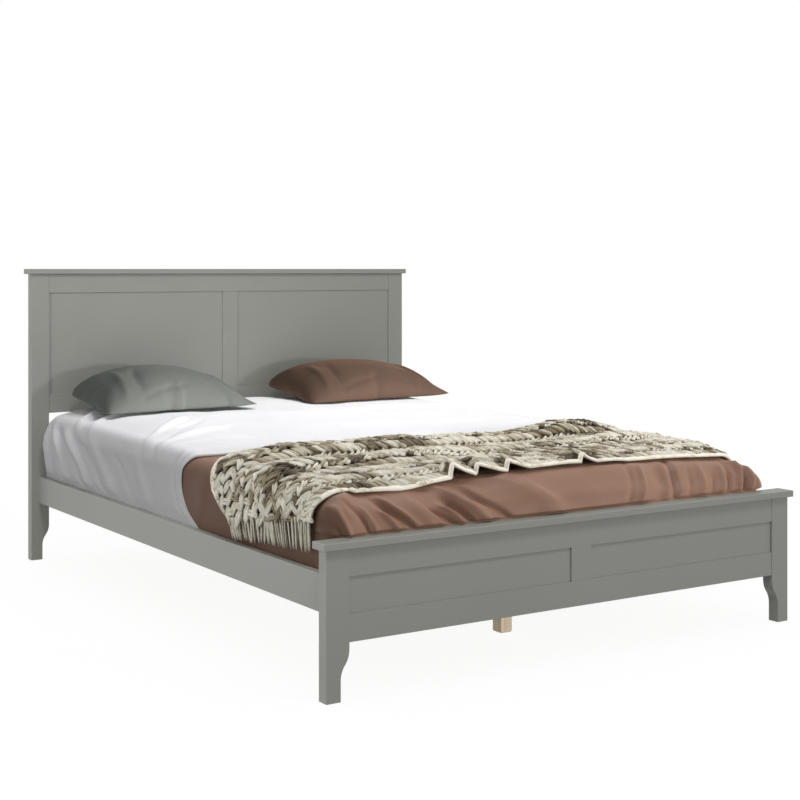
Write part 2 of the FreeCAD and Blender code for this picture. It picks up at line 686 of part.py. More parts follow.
def slatted_base(rail_screws, plate_screw_set, shoe_screw_set):
    """Side rails, ledgers, slats, tapes, and the beam with its shoes and legs."""
    places = slat_places()
    end_screws = slat_screws([size(places[0]), size(places[-1])])
    for name, side in (("left", -1), ("right", 1)):
        side_rail(name, side, rail_screws, plate_screw_set)
        slat_ledger(name, side, rail_screws, end_screws)
        slat_tape(name, side)
    for number, place in enumerate(places, start=1):
        slat(number, place, (end_screws,) if number in (1, len(places)) else ())
    leg_places = {"foot_support_leg": "-leg_spacing", "middle_support_leg": "0",
                  "head_support_leg": "leg_spacing"}
    dowels = leg_dowels([size(place) for place in leg_places.values()])
    centre_beam(dowels)
    for label, place in leg_places.items():
        support_leg(label, place, dowels)
    beam_shoes(shoe_screw_set)


# Bedding
CLOTH_GAP = 2.2
CORNER_TURNS = (0, 45, 90)
TOP_REACH = 0.86
FOLD_PROFILE = ((0.0, 0.0), (0.2, 0.7), (0.5, 1.0), (0.8, 0.7))


def drape_path(clearance, levels):
    """Stations of a cloth over the mattress, from the left hem to the right hem.

    A station is (x, z, outward x, outward z, level). Levels name the heights of the hanging
    part, from the hem up; the clearance is the gap from the mattress to the cloth's inner face.
    """
    side = size("mattress_width / 2")
    top = size(MATTRESS_TOP)
    edge = size("mattress_edge")
    stations = [(-side - clearance, height, -1.0, 0.0, name) for name, height in levels]
    for turn in CORNER_TURNS:
        across, up = math.cos(math.radians(turn)), math.sin(math.radians(turn))
        reach = edge + clearance
        stations.append((edge - side - across * reach, top - edge + up * reach, -across, up, "turn"))
    stations.append((-side * TOP_REACH, top + clearance, 0.0, 1.0, "top"))
    right = [(-x, z, -out_x, out_z, name) for x, z, out_x, out_z, name in reversed(stations)]
    return stations + right


def fold_section(station, starts, ends, folds, base, crest):
    """One closed section of a cloth: flat inside, a row of crested folds outside."""
    x, z, out_x, out_z, name = station
    half = size("mattress_width / 2")
    share = min(max((x + half) / (2 * half), 0.0), 1.0)
    start = starts[0] + (starts[1] - starts[0]) * share
    end = ends[0] + (ends[1] - ends[0]) * share

    def point(along, out):
        return FreeCAD.Vector(x + out_x * out, along, z + out_z * out)

    fold = (end - start) / folds
    outer = [point(start + (number + part) * fold, base + rise * crest)
             for number in range(folds) for part, rise in FOLD_PROFILE]
    return Part.makePolygon([point(start, 0), *outer, point(end, base), point(end, 0), point(start, 0)])


def draped_cloth(path, starts, ends, folds, thickness):
    """A cloth over the mattress, lofted from hem to hem through its folded sections.

    Starts and ends are the places of its two edges along the bed, at the left and at the
    right; thickness gives (base, crest) of the folds for each kind of station.
    """
    sections = [fold_section(station, starts, ends, folds, *thickness[station[4]])
                for station in path]
    return Part.makeLoft(sections, True, True)


def add_soft(label, shape):
    """A soft piece as a feature of its own."""
    feature = DOC.addObject("Part::Feature", label)
    feature.Label = label
    feature.Shape = shape
    return keep(label, feature)


DUVET_FRONT = (-165.0, -215.0)
DUVET_BACK = 1012.0
THROW_FRONT = (-941.0, -891.0)
THROW_BACK = (-361.0, -222.0)
THROW_HEM = 410.0
FRINGE_END = 338.0
THROW_GAP = 14.5


def mattress():
    """The mattress, with rounded corners and bevelled edges."""
    body = new_body("mattress", "0", "0", "slat_top")
    across, along = "mattress_width / 2", "mattress_length / 2"
    face = box_corners(f"-{across}", f"-{along}", across, along)
    pad(body, outline(body, "XY_Plane", face), "mattress_height", side_type="One side")
    dress_edges(body, "Fillet", "mattress_corner", runs_along(ALONG_Z, 1))
    dress_edges(body, "Chamfer", "mattress_edge", lambda edge: edge.BoundBox.ZLength < 1)
    return keep("mattress", body)


def bedspread():
    """The bedspread from the foot to the duvet, tucked in at the sides and over the foot."""
    foot = size("-mattress_length / 2")
    levels = (("hem", 292.0), ("hem", 312.0), ("side", 350.0))
    thickness = {"hem": (4.0, 1.6), "side": (6.0, 5.0), "turn": (6.0, 5.0), "top": (6.0, 5.0)}
    path = drape_path(CLOTH_GAP, levels)
    ends = [place - 5 for place in DUVET_FRONT]
    spread = draped_cloth(path, (foot, foot), ends, 7, thickness)
    flap = foot_flap(foot)
    return add_soft("brown_bedspread", spread.fuse(flap).removeSplitter())


def foot_flap(foot):
    """The bedspread's drop over the foot of the mattress, down to the footboard cap."""
    edge = size("mattress_edge")
    top = size(MATTRESS_TOP)
    low = size("foot_height") + 2
    half = size("mattress_width / 2 - mattress_edge")
    inner = edge + CLOTH_GAP
    outer = inner + 11
    centre = FreeCAD.Vector(-half, foot + edge, top - edge)

    def on_arc(radius, turn):
        angle = math.radians(turn)
        return centre + FreeCAD.Vector(0, -math.cos(angle) * radius, math.sin(angle) * radius)

    inner_low = FreeCAD.Vector(-half, centre.y - inner, low)
    outer_low = FreeCAD.Vector(-half, centre.y - outer, low)
    edges = [Part.LineSegment(inner_low, on_arc(inner, 0)).toShape(),
             Part.Arc(on_arc(inner, 0), on_arc(inner, 45), on_arc(inner, 90)).toShape(),
             Part.LineSegment(on_arc(inner, 90), on_arc(outer, 90)).toShape(),
             Part.Arc(on_arc(outer, 90), on_arc(outer, 45), on_arc(outer, 0)).toShape(),
             Part.LineSegment(on_arc(outer, 0), outer_low).toShape(),
             Part.LineSegment(outer_low, inner_low).toShape()]
    return Part.Face(Part.Wire(edges)).extrude(FreeCAD.Vector(2 * half, 0, 0))


def duvet():
    """The white duvet from its front edge to the head, hanging in soft folds at the sides."""
    levels = (("hem", 292.0), ("hem", 312.0), ("side", 350.0))
    thickness = {"hem": (4.0, 1.6), "side": (10.0, 9.0), "turn": (16.0, 8.0), "top": (26.0, 9.0)}
    path = drape_path(CLOTH_GAP, levels)
    return add_soft("white_duvet", draped_cloth(path, DUVET_FRONT, (DUVET_BACK, DUVET_BACK), 9,
                                                thickness))


def knit_throw():
    """The knitted throw across the foot, in long ridges, hanging at both sides."""
    levels = (("side", THROW_HEM), ("side", 440.0))
    thickness = {"side": (7.0, 7.0), "turn": (8.0, 9.0), "top": (8.0, 16.0)}
    path = drape_path(THROW_GAP, levels)
    return add_soft("knit_throw", draped_cloth(path, THROW_FRONT, THROW_BACK, 4, thickness))


def throw_fringe():
    """The fringe below both hems of the throw, as one scalloped strip a side."""
    strips = []
    for side in (-1, 1):
        across = size("mattress_width / 2") + THROW_GAP + 1
        place = 0 if side < 0 else 1
        starts = (THROW_FRONT[place],) * 2
        ends = (THROW_BACK[place],) * 2
        stations = [(side * across, height, float(side), 0.0, "fringe")
                    for height in (FRINGE_END, THROW_HEM)]
        sections = [fold_section(station, starts, ends, 8, 3.0, 3.0) for station in stations]
        strips.append(Part.makeLoft(sections, True, True))
    return add_soft("throw_fringe", Part.makeCompound(strips))


PILLOW_LENGTH = 660.0
PILLOW_DEPTH = 400.0
PILLOW_CROWN = 114.0
PILLOW_BELLY = 56.0
PILLOW_TILT = 10.0
PILLOW_SIDES_DRAWN_IN = 16.0
PILLOW_SIDE_STEPS = (-1.0, -0.85, -0.55, -0.2, 0.2, 0.55, 0.85)
PILLOW_SHARES = (1.0, 0.98, 0.94, 0.88, 0.8, 0.7, 0.57, 0.41, 0.2)


def pillow_level(share, height):
    """The outline of a pillow at one level: four drawn-in sides between pointed corners."""
    half_length, half_depth = PILLOW_LENGTH / 2, PILLOW_DEPTH / 2
    points = []
    for turn, reach, out in ((0, half_length, half_depth), (90, half_depth, half_length),
                             (180, half_length, half_depth), (270, half_depth, half_length)):
        side = FreeCAD.Rotation(ALONG_Z, turn)
        for step in PILLOW_SIDE_STEPS:
            drawn = PILLOW_SIDES_DRAWN_IN * (1 - step * step)
            points.append(side.multVec(FreeCAD.Vector(step * reach, drawn - out, 0)) * share
                          + ALONG_Z * height)
    return points


def pillow_shape():
    """A pillow about its seam: crowned above, flatter below."""
    rises = [(share, (1.02 - share ** 2.4) ** 0.6) for share in PILLOW_SHARES]
    belly = [pillow_level(share, -PILLOW_BELLY * rise) for share, rise in reversed(rises)]
    crown = [pillow_level(share, PILLOW_CROWN * rise) for share, rise in rises]
    return through_rings(belly + crown)


def pillow(label, across, along, height):
    """A pillow that leans back a little, its seam's middle at the given place."""
    feature = add_soft(label, pillow_shape())
    feature.Placement = FreeCAD.Placement(FreeCAD.Vector(across, along, height),
                                          FreeCAD.Rotation(ALONG_X, PILLOW_TILT))
    return feature


def bedding():
    """Mattress, bedspread, duvet, throw with its fringe, and two pillows."""
    mattress()
    bedspread()
    duvet()
    knit_throw()
    throw_fringe()
    pillow("grey_pillow", across=-395.0, along=790.0, height=601.0)
    pillow("brown_pillow", across=435.0, along=790.0, height=601.0)


def check_model():
    """Stop if an object failed or a piece's shape isn't one that can be written."""
    for item in DOC.Objects:
        if {"Invalid", "Error"} & set(item.State):
            raise RuntimeError(f"{item.Label} is {item.State}")
    for label, item in PIECES.items():
        if item.Shape.isNull() or not item.Shape.isValid() or not item.Shape.Solids:
            raise RuntimeError(f"{label} has no valid shape")


def write_pieces():
    """Write each piece to its own file."""
    os.makedirs("parts", exist_ok=True)
    for label, item in sorted(PIECES.items()):
        item.Shape.exportStep(os.path.join("parts", f"{label}.step"))
        print(label, len(item.Shape.Solids), round(item.Shape.Volume))


fill_sheet()
LEDGER_SCREWS = ledger_screws()
PLATE_SCREWS = plate_screws()
SHOE_SCREWS = shoe_screws()
CAP_DOWELS = cap_dowels()
fastener_plates(PLATE_SCREWS)
headboard(PLATE_SCREWS, SHOE_SCREWS, CAP_DOWELS)
footboard(PLATE_SCREWS, SHOE_SCREWS, CAP_DOWELS)
slatted_base(LEDGER_SCREWS, PLATE_SCREWS, SHOE_SCREWS)
bedding()
DOC.recompute()
check_model()
write_pieces()
print("pieces", len(PIECES))
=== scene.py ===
"""A queen platform bed in grey paint, dressed for the night, in a plain pale studio.

Lengths are metres, +Z is up, and the origin is on the floor at the middle of the bed. The foot
of the bed is at -Y, and left and right are as seen from the foot. The cloths are drawn flat
first, as (across, along) from the middle of the bed, and then laid over the mattress: what
reaches past an edge bends round it and hangs.
"""

import logging
import math
from collections.abc import Iterator, Sequence
from contextlib import contextmanager
from dataclasses import dataclass, field
from enum import Enum

import bpy
import numpy as np
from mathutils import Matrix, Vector


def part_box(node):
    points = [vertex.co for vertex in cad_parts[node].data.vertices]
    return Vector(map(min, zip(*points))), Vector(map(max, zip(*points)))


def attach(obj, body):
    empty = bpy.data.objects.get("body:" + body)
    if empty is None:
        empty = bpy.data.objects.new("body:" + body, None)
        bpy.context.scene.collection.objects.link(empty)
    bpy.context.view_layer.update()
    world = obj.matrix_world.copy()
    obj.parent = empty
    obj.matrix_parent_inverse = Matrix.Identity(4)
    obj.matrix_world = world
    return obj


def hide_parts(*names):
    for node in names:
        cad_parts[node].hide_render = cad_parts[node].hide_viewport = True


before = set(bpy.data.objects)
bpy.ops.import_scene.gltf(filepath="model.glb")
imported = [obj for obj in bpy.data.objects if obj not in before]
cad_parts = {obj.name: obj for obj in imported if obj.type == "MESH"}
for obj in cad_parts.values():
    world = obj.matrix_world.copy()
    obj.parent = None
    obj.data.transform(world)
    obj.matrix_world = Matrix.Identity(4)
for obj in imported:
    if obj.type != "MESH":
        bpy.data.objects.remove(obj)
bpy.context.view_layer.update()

LOG = logging.getLogger("bed")
Array = np.ndarray
Piece = bpy.types.Object
Socket = bpy.types.NodeSocket
Colour = tuple[int, int, int]
Place = tuple[float, float, float]
Rows = tuple[tuple[float, ...], ...]


class Body(Enum):
    """The bodies that a piece can ride on."""
    FRAME = "bed_frame"
    MATTRESS = "mattress"
    THROW = "throw"
    GREY_PILLOW = "grey_pillow"
    BROWN_PILLOW = "brown_pillow"


class Run(Enum):
    """The way that the grain of a board runs, as the turn that brings it to X."""
    ACROSS = (0.0, 0.0, 0.0)
    ALONG = (0.0, 0.0, math.pi / 2)
    UPRIGHT = (0.0, math.pi / 2, 0.0)


# Measures and noise
def smooth(values: Array, low: float, high: float) -> Array:
    """Ease from 0 to 1 as the values go from low to high.

    Args:
        values: Where the step is wanted.
        low: The value that gives 0.
        high: The value that gives 1; it may be the lower one.

    Returns:
        The eased step.
    """
    share = np.clip((np.asarray(values, float) - low) / (high - low), 0.0, 1.0)
    return share * share * (3.0 - 2.0 * share)


def drift(u: Array, v: Array, seed: int) -> Array:
    """Soft noise from -1 to 1 that changes over a distance of about 1.

    Args:
        u: First coordinate.
        v: Second coordinate.
        seed: Which of the patterns to read.

    Returns:
        The noise at each place.
    """
    lattice = np.random.default_rng(seed).uniform(-1.0, 1.0, (61, 61))
    u, v = np.broadcast_arrays(np.asarray(u, float), np.asarray(v, float))
    low_u, low_v = np.floor(u).astype(int), np.floor(v).astype(int)
    part_u, part_v = smooth(u - low_u, 0.0, 1.0), smooth(v - low_v, 0.0, 1.0)
    corner = [[lattice[(low_u + i) % 61, (low_v + j) % 61] for j in (0, 1)] for i in (0, 1)]
    near = corner[0][0] * (1 - part_v) + corner[0][1] * part_v
    far = corner[1][0] * (1 - part_v) + corner[1][1] * part_v
    return near * (1 - part_u) + far * part_u


def ridge(values: Array, middle: float, half: float) -> Array:
    """A smooth ridge, 1 at its middle, of so much half width."""
    return np.exp(-((values - middle) / half) ** 2)


def circle(count: int) -> Array:
    """So many angles, evenly round a full turn."""
    return np.linspace(0, 2 * math.pi, count + 1)[:-1]


def unit(ways: Array) -> Array:
    """Directions brought to a length of 1."""
    return ways / np.linalg.norm(ways, axis=-1, keepdims=True)


@dataclass(frozen=True)
class Fold:
    """One fold of a cloth, drawn flat from its start to its end.

    Attributes:
        start_across: Where it begins, across the bed.
        start_along: Where it begins, along the bed.
        end_across: Where it ends, across the bed.
        end_along: Where it ends, along the bed.
        width: Half its width.
        height: How far it stands out, or in if negative.
        bow: How far its middle bows to the left of its way.
        open_end: Whether it runs on past its end at full height.
    """
    start_across: float
    start_along: float
    end_across: float
    end_along: float
    width: float
    height: float
    bow: float = 0.0
    open_end: bool = False

    def rise(self, across: Array, along: Array) -> Array:
        """The height that the fold adds at each place.

        Args:
            across: Places across the bed.
            along: Places along the bed.

        Returns:
            Heights, highest along a line a little to one side, so that one slope is steeper.
        """
        way = np.array((self.end_across, self.end_along)) - np.array((self.start_across, self.start_along))
        length = float(np.hypot(*way))
        way = way / length
        across, along = across - self.start_across, along - self.start_along
        share = (across * way[0] + along * way[1]) / length
        aside = along * way[0] - across * way[1]
        aside = aside - self.bow * (1 - (2 * np.clip(share, 0, 1) - 1) ** 2)
        ends = smooth(share, -0.1, 0.3) * (1.0 if self.open_end else smooth(share, 1.1, 0.7))
        gap = aside / self.width
        skewed = np.where(gap > 0, gap * 1.5, gap * 0.85)
        return self.height * ends * np.exp(-skewed * skewed)


def folds_of(rows: Rows, **shared: float | bool) -> list[Fold]:
    """A fold for each row of values; what they share is named."""
    return [Fold(*row, **shared) for row in rows]


def folded(across: Array, along: Array, folds: Sequence[Fold]) -> Array:
    """Heights of several folds together, their lines a little unsteady."""
    wander = 0.010 * drift(across * 7, along * 7, 5)
    return sum((fold.rise(across + wander, along + wander) for fold in folds),
               np.zeros(np.broadcast(across, along).shape))


# Making and dressing pieces
def only(*pieces: Piece) -> None:
    """Select these pieces and nothing else, the first of them active."""
    bpy.ops.object.select_all(action="DESELECT")
    for piece in pieces:
        piece.select_set(True)
    bpy.context.view_layer.objects.active = pieces[0]


@contextmanager
def editing(piece: Piece) -> Iterator[None]:
    """Open a piece in edit mode with all of it selected, and close it again."""
    only(piece)
    bpy.ops.object.mode_set(mode="EDIT")
    bpy.ops.mesh.select_mode(type="VERT")
    bpy.ops.mesh.select_all(action="SELECT")
    yield
    bpy.ops.object.mode_set(mode="OBJECT")


def in_scene(name: str, data: bpy.types.ID) -> Piece:
    """A new object of this name, put in the scene."""
    thing = bpy.data.objects.new(name, data)
    bpy.context.scene.collection.objects.link(thing)
    return thing


def named(piece: Piece, name: str) -> Piece:
    """Give a piece and its mesh a name."""
    piece.name = name
    piece.data.name = name
    return piece


def finished(piece: Piece, kind: str, **values: object) -> Piece:
    """Add a modifier with these values and apply it."""
    only(piece)
    modifier = piece.modifiers.new(kind.title(), kind)
    for key, value in values.items():
        setattr(modifier, key, value)
    bpy.ops.object.modifier_apply(modifier=modifier.name)
    return piece


def rounded(piece: Piece, degrees: float) -> Piece:
    """Shade smooth across all edges that turn by less than so many degrees."""
    only(piece)
    bpy.ops.object.shade_smooth_by_angle(angle=math.radians(degrees))
    return piece


def recalculated(piece: Piece) -> Piece:
    """Turn every face of a closed piece outwards."""
    with editing(piece):
        bpy.ops.mesh.normals_make_consistent(inside=False)
    return piece


def joined(name: str, pieces: Sequence[Piece]) -> Piece:
    """Join pieces into one of this name."""
    only(*pieces)
    bpy.ops.object.join()
    return named(bpy.context.object, name)


def settle(piece: Piece, body: Body, slot: str, *nodes: str) -> Piece:
    """Hand a piece to the frame: its body, and the nodes that it stands for, which are hidden."""
    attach(piece, body.value)
    if nodes:
        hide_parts(*nodes)
    LOG.info("%s: %d faces, on %s", piece.name, len(piece.data.polygons), body.value)
    return piece


def mesh_piece(name: str, points: Array, faces: Sequence, flat: Array | None = None) -> Piece:
    """A smooth piece from its points and faces.

    Args:
        name: Its name.
        points: Its points, in rows of three.
        faces: The corners of each face.
        flat: The place of each point on the flat cloth, kept as the UV map, in metres.

    Returns:
        The piece.
    """
    mesh = bpy.data.meshes.new(name)
    mesh.from_pydata(points.reshape(-1, 3).tolist(), [], [list(map(int, face)) for face in faces])
    mesh.polygons.foreach_set("use_smooth", np.ones(len(mesh.polygons), bool))
    if flat is not None:
        corners = np.zeros(len(mesh.loops), np.int32)
        mesh.loops.foreach_get("vertex_index", corners)
        chart = mesh.uv_layers.new(name="Flat")
        chart.data.foreach_set("uv", flat.reshape(-1, 2)[corners].astype(np.float32).ravel())
    return in_scene(name, mesh)


def grid_faces(rows: int, columns: int, ring: bool = False, closed: bool = False) -> Array:
    """Faces of a grid of points, each seen the right way round from its normal's side.

    Args:
        rows: Points the first way.
        columns: Points the second way.
        ring: Whether the last column joins the first.
        closed: Whether the last row joins the first.

    Returns:
        Four point numbers for each face.
    """
    i, j = np.meshgrid(np.arange(rows if closed else rows - 1),
                       np.arange(columns if ring else columns - 1), indexing="ij")
    below, after = (i + 1) % rows, (j + 1) % columns
    return np.stack([i * columns + j, below * columns + j, below * columns + after,
                     i * columns + after], axis=-1).reshape(-1, 4)


def ring_faces(count: int, levels: int, around: int) -> list[list[int]]:
    """Faces of many closed tubes, each a number of rings of points with a cap at both ends.

    Args:
        count: Number of tubes.
        levels: Rings in each.
        around: Points in each ring.

    Returns:
        The corners of each face.
    """
    wall = grid_faces(levels, around, ring=True).tolist()
    ends = [list(range(around)), list(range(levels * around - 1, (levels - 1) * around - 1, -1))]
    return [[corner + tube * levels * around for corner in face]
            for tube in range(count) for face in wall + ends]


def sheet_piece(name: str, places: Array, flat: Array, thick: float) -> Piece:
    """A cloth of one thickness whose outer face passes through a grid of places.

    Args:
        name: Its name.
        places: Grid of places, first index across and second along the bed.
        flat: The same grid on the flat cloth.
        thick: Thickness, added on the inner side.

    Returns:
        The closed piece.
    """
    piece = mesh_piece(name, places, grid_faces(*places.shape[:2]), flat)
    finished(piece, "SOLIDIFY", thickness=thick, offset=-1.0, use_rim=True)
    return piece


def read_points(piece: Piece) -> Array:
    """The points of a piece, in rows of three."""
    points = np.zeros(len(piece.data.vertices) * 3, np.float32)
    piece.data.vertices.foreach_get("co", points)
    return points.reshape(-1, 3).astype(float)


def write_points(piece: Piece, points: Array) -> None:
    """Move the points of a piece."""
    piece.data.vertices.foreach_set("co", points.astype(np.float32).ravel())
    piece.data.update()


def tone_of(piece: Piece, tones: Array) -> None:
    """Store the shade of the wool at each point of a piece."""
    layer = piece.data.attributes.new("Tone", "FLOAT", "POINT")
    layer.data.foreach_set("value", tones.astype(np.float32))


# Shading
class Shading:
    """The nodes of one material or node group, added from left to right."""

    def __init__(self, tree: bpy.types.NodeTree) -> None:
        """Start on an empty tree."""
        self.tree = tree
        self.count = 0

    def add(self, kind: str, settings: dict | None = None, **inputs: object) -> bpy.types.Node:
        """Add a node.

        Args:
            kind: Its type, without the leading ShaderNode.
            settings: Properties of the node.
            inputs: Values or sockets for its inputs; an underscore stands for a space, and a
                key such as i0 is an input's number.

        Returns:
            The node.
        """
        node = self.tree.nodes.new("ShaderNode" + kind)
        self.count += 1
        node.location = (self.count * 180, 0)
        for key, value in (settings or {}).items():
            setattr(node, key, value)
        return self.feed(node, **inputs)

    def feed(self, node: bpy.types.Node, **inputs: object) -> bpy.types.Node:
        """Set inputs of a node, or link them where the value is a socket; keys are as in add."""
        for key, value in inputs.items():
            number = key[1:]
            socket = node.inputs[int(number) if number.isdigit() else key.replace("_", " ")]
            if isinstance(value, Socket):
                self.tree.links.new(value, socket)
            else:
                socket.default_value = value
        return node

    def noise(self, place: Socket, scale: float | Socket, detail: float = 2.0) -> Socket:
        """Noise around a half, finer with a higher scale."""
        return self.add("TexNoise", Vector=place, Scale=scale, Detail=detail).outputs["Fac"]

    def mapped(self, place: Socket, **values: Place) -> Socket:
        """Coordinates with a Scale or a Rotation."""
        return self.add("Mapping", Vector=place, **values).outputs["Vector"]

    def math(self, operation: str, *values: object) -> Socket:
        """The result of a Math node."""
        numbered = {f"i{number}": value for number, value in enumerate(values)}
        return self.add("Math", {"operation": operation}, **numbered).outputs[0]

    def mix(self, share: object, first: object, second: object, blend: str = "MIX") -> Socket:
        """A mix of two colours."""
        node = self.add("Mix", {"data_type": "RGBA", "blend_type": blend}, i0=share, i6=first, i7=second)
        return node.outputs[2]

    def shaded(self, colour: object, shade: Socket) -> Socket:
        """A colour that a value near 1 makes lighter or darker."""
        grey = self.add("CombineColor", Red=shade, Green=shade, Blue=shade).outputs["Color"]
        return self.mix(1.0, colour, grey, "MULTIPLY")

    def ramp(self, share: Socket, *stops: tuple[float, tuple[float, ...]]) -> Socket:
        """A colour ramp through (position, colour) stops."""
        node = self.add("ValToRGB", Fac=share)
        steps = node.color_ramp.elements
        while len(steps) < len(stops):
            steps.new(1.0)
        for step, (position, colour) in zip(steps, stops):
            step.position, step.color = position, (*colour[:3], 1.0)
        return node.outputs["Color"]

    def group(self, tree: bpy.types.NodeTree, **inputs: object) -> bpy.types.Node:
        """Place a node group and set its inputs."""
        return self.add("Group", {"node_tree": tree}, **inputs)


def emptied(owner: bpy.types.Material | bpy.types.World) -> Shading:
    """The nodes of a material or a world, with none there yet."""
    owner.use_nodes = True
    owner.node_tree.nodes.clear()
    return Shading(owner.node_tree)


def rgba(colour: Colour) -> tuple[float, ...]:
    """A colour seen as three values of 255, in linear light and opaque."""
    return *(math.pow((value / 255 + 0.055) / 1.055, 2.4) for value in colour), 1.0


def new_group(name: str, inputs: dict[str, object], outputs: Sequence[str]) -> Shading:
    """An empty node group with its sockets.

    Args:
        name: Its name.
        inputs: Default of each input; a vector's is None.
        outputs: Names of the outputs, each a value.

    Returns:
        The group's shading, with its input and output nodes in place.
    """
    tree = bpy.data.node_groups.new(name, "ShaderNodeTree")
    for key, value in inputs.items():
        kind = "NodeSocketVector" if value is None else "NodeSocketFloat"
        socket = tree.interface.new_socket(name=key, in_out="INPUT", socket_type=kind)
        if value is not None:
            socket.default_value = value
    for key in outputs:
        tree.interface.new_socket(name=key, in_out="OUTPUT", socket_type="NodeSocketFloat")
    shading = Shading(tree)
    shading.start = tree.nodes.new("NodeGroupInput").outputs
    shading.end = tree.nodes.new("NodeGroupOutput")
    return shading


def cloudy_group() -> bpy.types.NodeTree:
    """Slow changes of shade over a surface: Shade is 1 plus or minus Amount."""
    work = new_group("Cloudy shade", {"Vector": None, "Scale": 4.0, "Amount": 0.05}, ("Shade",))
    noise = work.noise(work.start["Vector"], work.start["Scale"], 3.0)
    swing = work.math("MULTIPLY_ADD", noise, 4.0, -2.0)
    shade = work.math("MULTIPLY_ADD", swing, work.start["Amount"], 1.0)
    work.feed(work.end, Shade=shade)
    return work.tree


def weave_group() -> bpy.types.NodeTree:
    """Plain weave: threads over and under each other, Pitch apart, with Slub of unevenness."""
    work = new_group("Plain weave", {"Vector": None, "Pitch": 0.001, "Slub": 0.3}, ("Height", "Slubs"))
    place = work.add("SeparateXYZ", Vector=work.start["Vector"])
    turns = work.math("DIVIDE", math.pi, work.start["Pitch"])
    waves = [work.math("SINE", work.math("MULTIPLY", place.outputs[axis], turns)) for axis in "XY"]
    threads = work.math("ABSOLUTE", work.math("MULTIPLY", *waves))
    slubs = work.noise(work.mapped(work.start["Vector"], Scale=(1.0, 0.06, 1.0)), 420.0)
    uneven = work.math("MULTIPLY", slubs, work.start["Slub"])
    work.feed(work.end, Height=work.math("ADD", threads, uneven), Slubs=slubs)
    return work.tree


def grain_group() -> bpy.types.NodeTree:
    """Softwood grain that runs along X: Late wood bands, and Fibre lines along them."""
    work = new_group("Softwood grain", {"Vector": None, "Bands": 38.0, "Waver": 0.012}, ("Late", "Fibre"))
    waver = work.noise(work.mapped(work.start["Vector"], Scale=(0.9, 7.0, 7.0)), 1.0)
    place = work.add("SeparateXYZ", Vector=work.start["Vector"])
    shift = work.math("MULTIPLY", waver, work.math("MULTIPLY", work.start["Waver"], 9.0))
    depth = work.math("ADD", work.math("MULTIPLY", place.outputs["Z"], 0.6), place.outputs["Y"])
    rings = work.math("MULTIPLY", work.math("ADD", depth, shift), work.start["Bands"])
    late = work.math("POWER", work.math("FRACT", rings), 2.2)
    fibre = work.noise(work.mapped(work.start["Vector"], Scale=(9.0, 700.0, 700.0)), 1.0)
    work.feed(work.end, Late=late, Fibre=fibre)
    return work.tree


@dataclass
class Effects:
    """The node groups that several finishes share."""
    cloudy: bpy.types.NodeTree = field(default_factory=cloudy_group)
    weave: bpy.types.NodeTree = field(default_factory=weave_group)
    grain: bpy.types.NodeTree = field(default_factory=grain_group)


EFFECTS = Effects()


@dataclass(frozen=True)
class Finish:
    """A finish that is made once and put on any piece.

    Attributes:
        name: The material's name.
        colour: The colour as seen, of 255.
        rough: Roughness.
    """
    name: str
    colour: Colour
    rough: float

    def shade(self, work: Shading, surface: bpy.types.Node) -> None:
        """Add the nodes of this finish to the surface."""

    def material(self) -> bpy.types.Material:
        """The material, made on first use."""
        found = bpy.data.materials.get(self.name)
        if found:
            return found
        material = bpy.data.materials.new(self.name)
        material.diffuse_color = rgba(self.colour)
        work = emptied(material)
        surface = work.add("BsdfPrincipled", Base_Color=rgba(self.colour), Roughness=self.rough)
        self.shade(work, surface)
        work.add("OutputMaterial", Surface=surface.outputs["BSDF"])
        return material

    def dress(self, *pieces: Piece) -> None:
        """Put the finish on pieces that the scene made."""
        for piece in pieces:
            piece.data.materials.clear()
            piece.data.materials.append(self.material())

    def dress_nodes(self, *nodes: str) -> None:
        """Put the finish on nodes that stay as they are."""
        for name in nodes:
            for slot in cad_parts[name].material_slots:
                slot.link = "OBJECT"
                slot.material = self.material()

    def height(self, work: Shading, surface: bpy.types.Node, height: Socket, distance: float) -> None:
        """Bump the surface by a height of so many metres."""
        bump = work.add("Bump", Height=height, Distance=distance, Strength=1.0)
        work.feed(surface, Normal=bump.outputs["Normal"])

    def clouds(self, work: Shading, place: Socket, scale: float, amount: float) -> Socket:
        """A slow change of shade over the surface, 1 plus or minus an amount."""
        return work.group(EFFECTS.cloudy, Vector=place, Scale=scale, Amount=amount).outputs["Shade"]


@dataclass(frozen=True)
class Paint(Finish):
    """Sprayed satin paint: faint orange peel, and slow changes of shade and gloss.

    Attributes:
        peel: Depth of the orange peel.
    """
    peel: float = 0.00006

    def shade(self, work: Shading, surface: bpy.types.Node) -> None:
        """Add the paint's nodes."""
        place = work.add("TexCoord").outputs["Object"]
        self.height(work, surface, work.noise(place, 420.0), self.peel)
        spread = self.clouds(work, place, 9.0, 0.06)
        work.feed(surface, Base_Color=work.shaded(rgba(self.colour), self.clouds(work, place, 2.2, 0.035)),
                  Roughness=work.math("MULTIPLY", spread, self.rough))


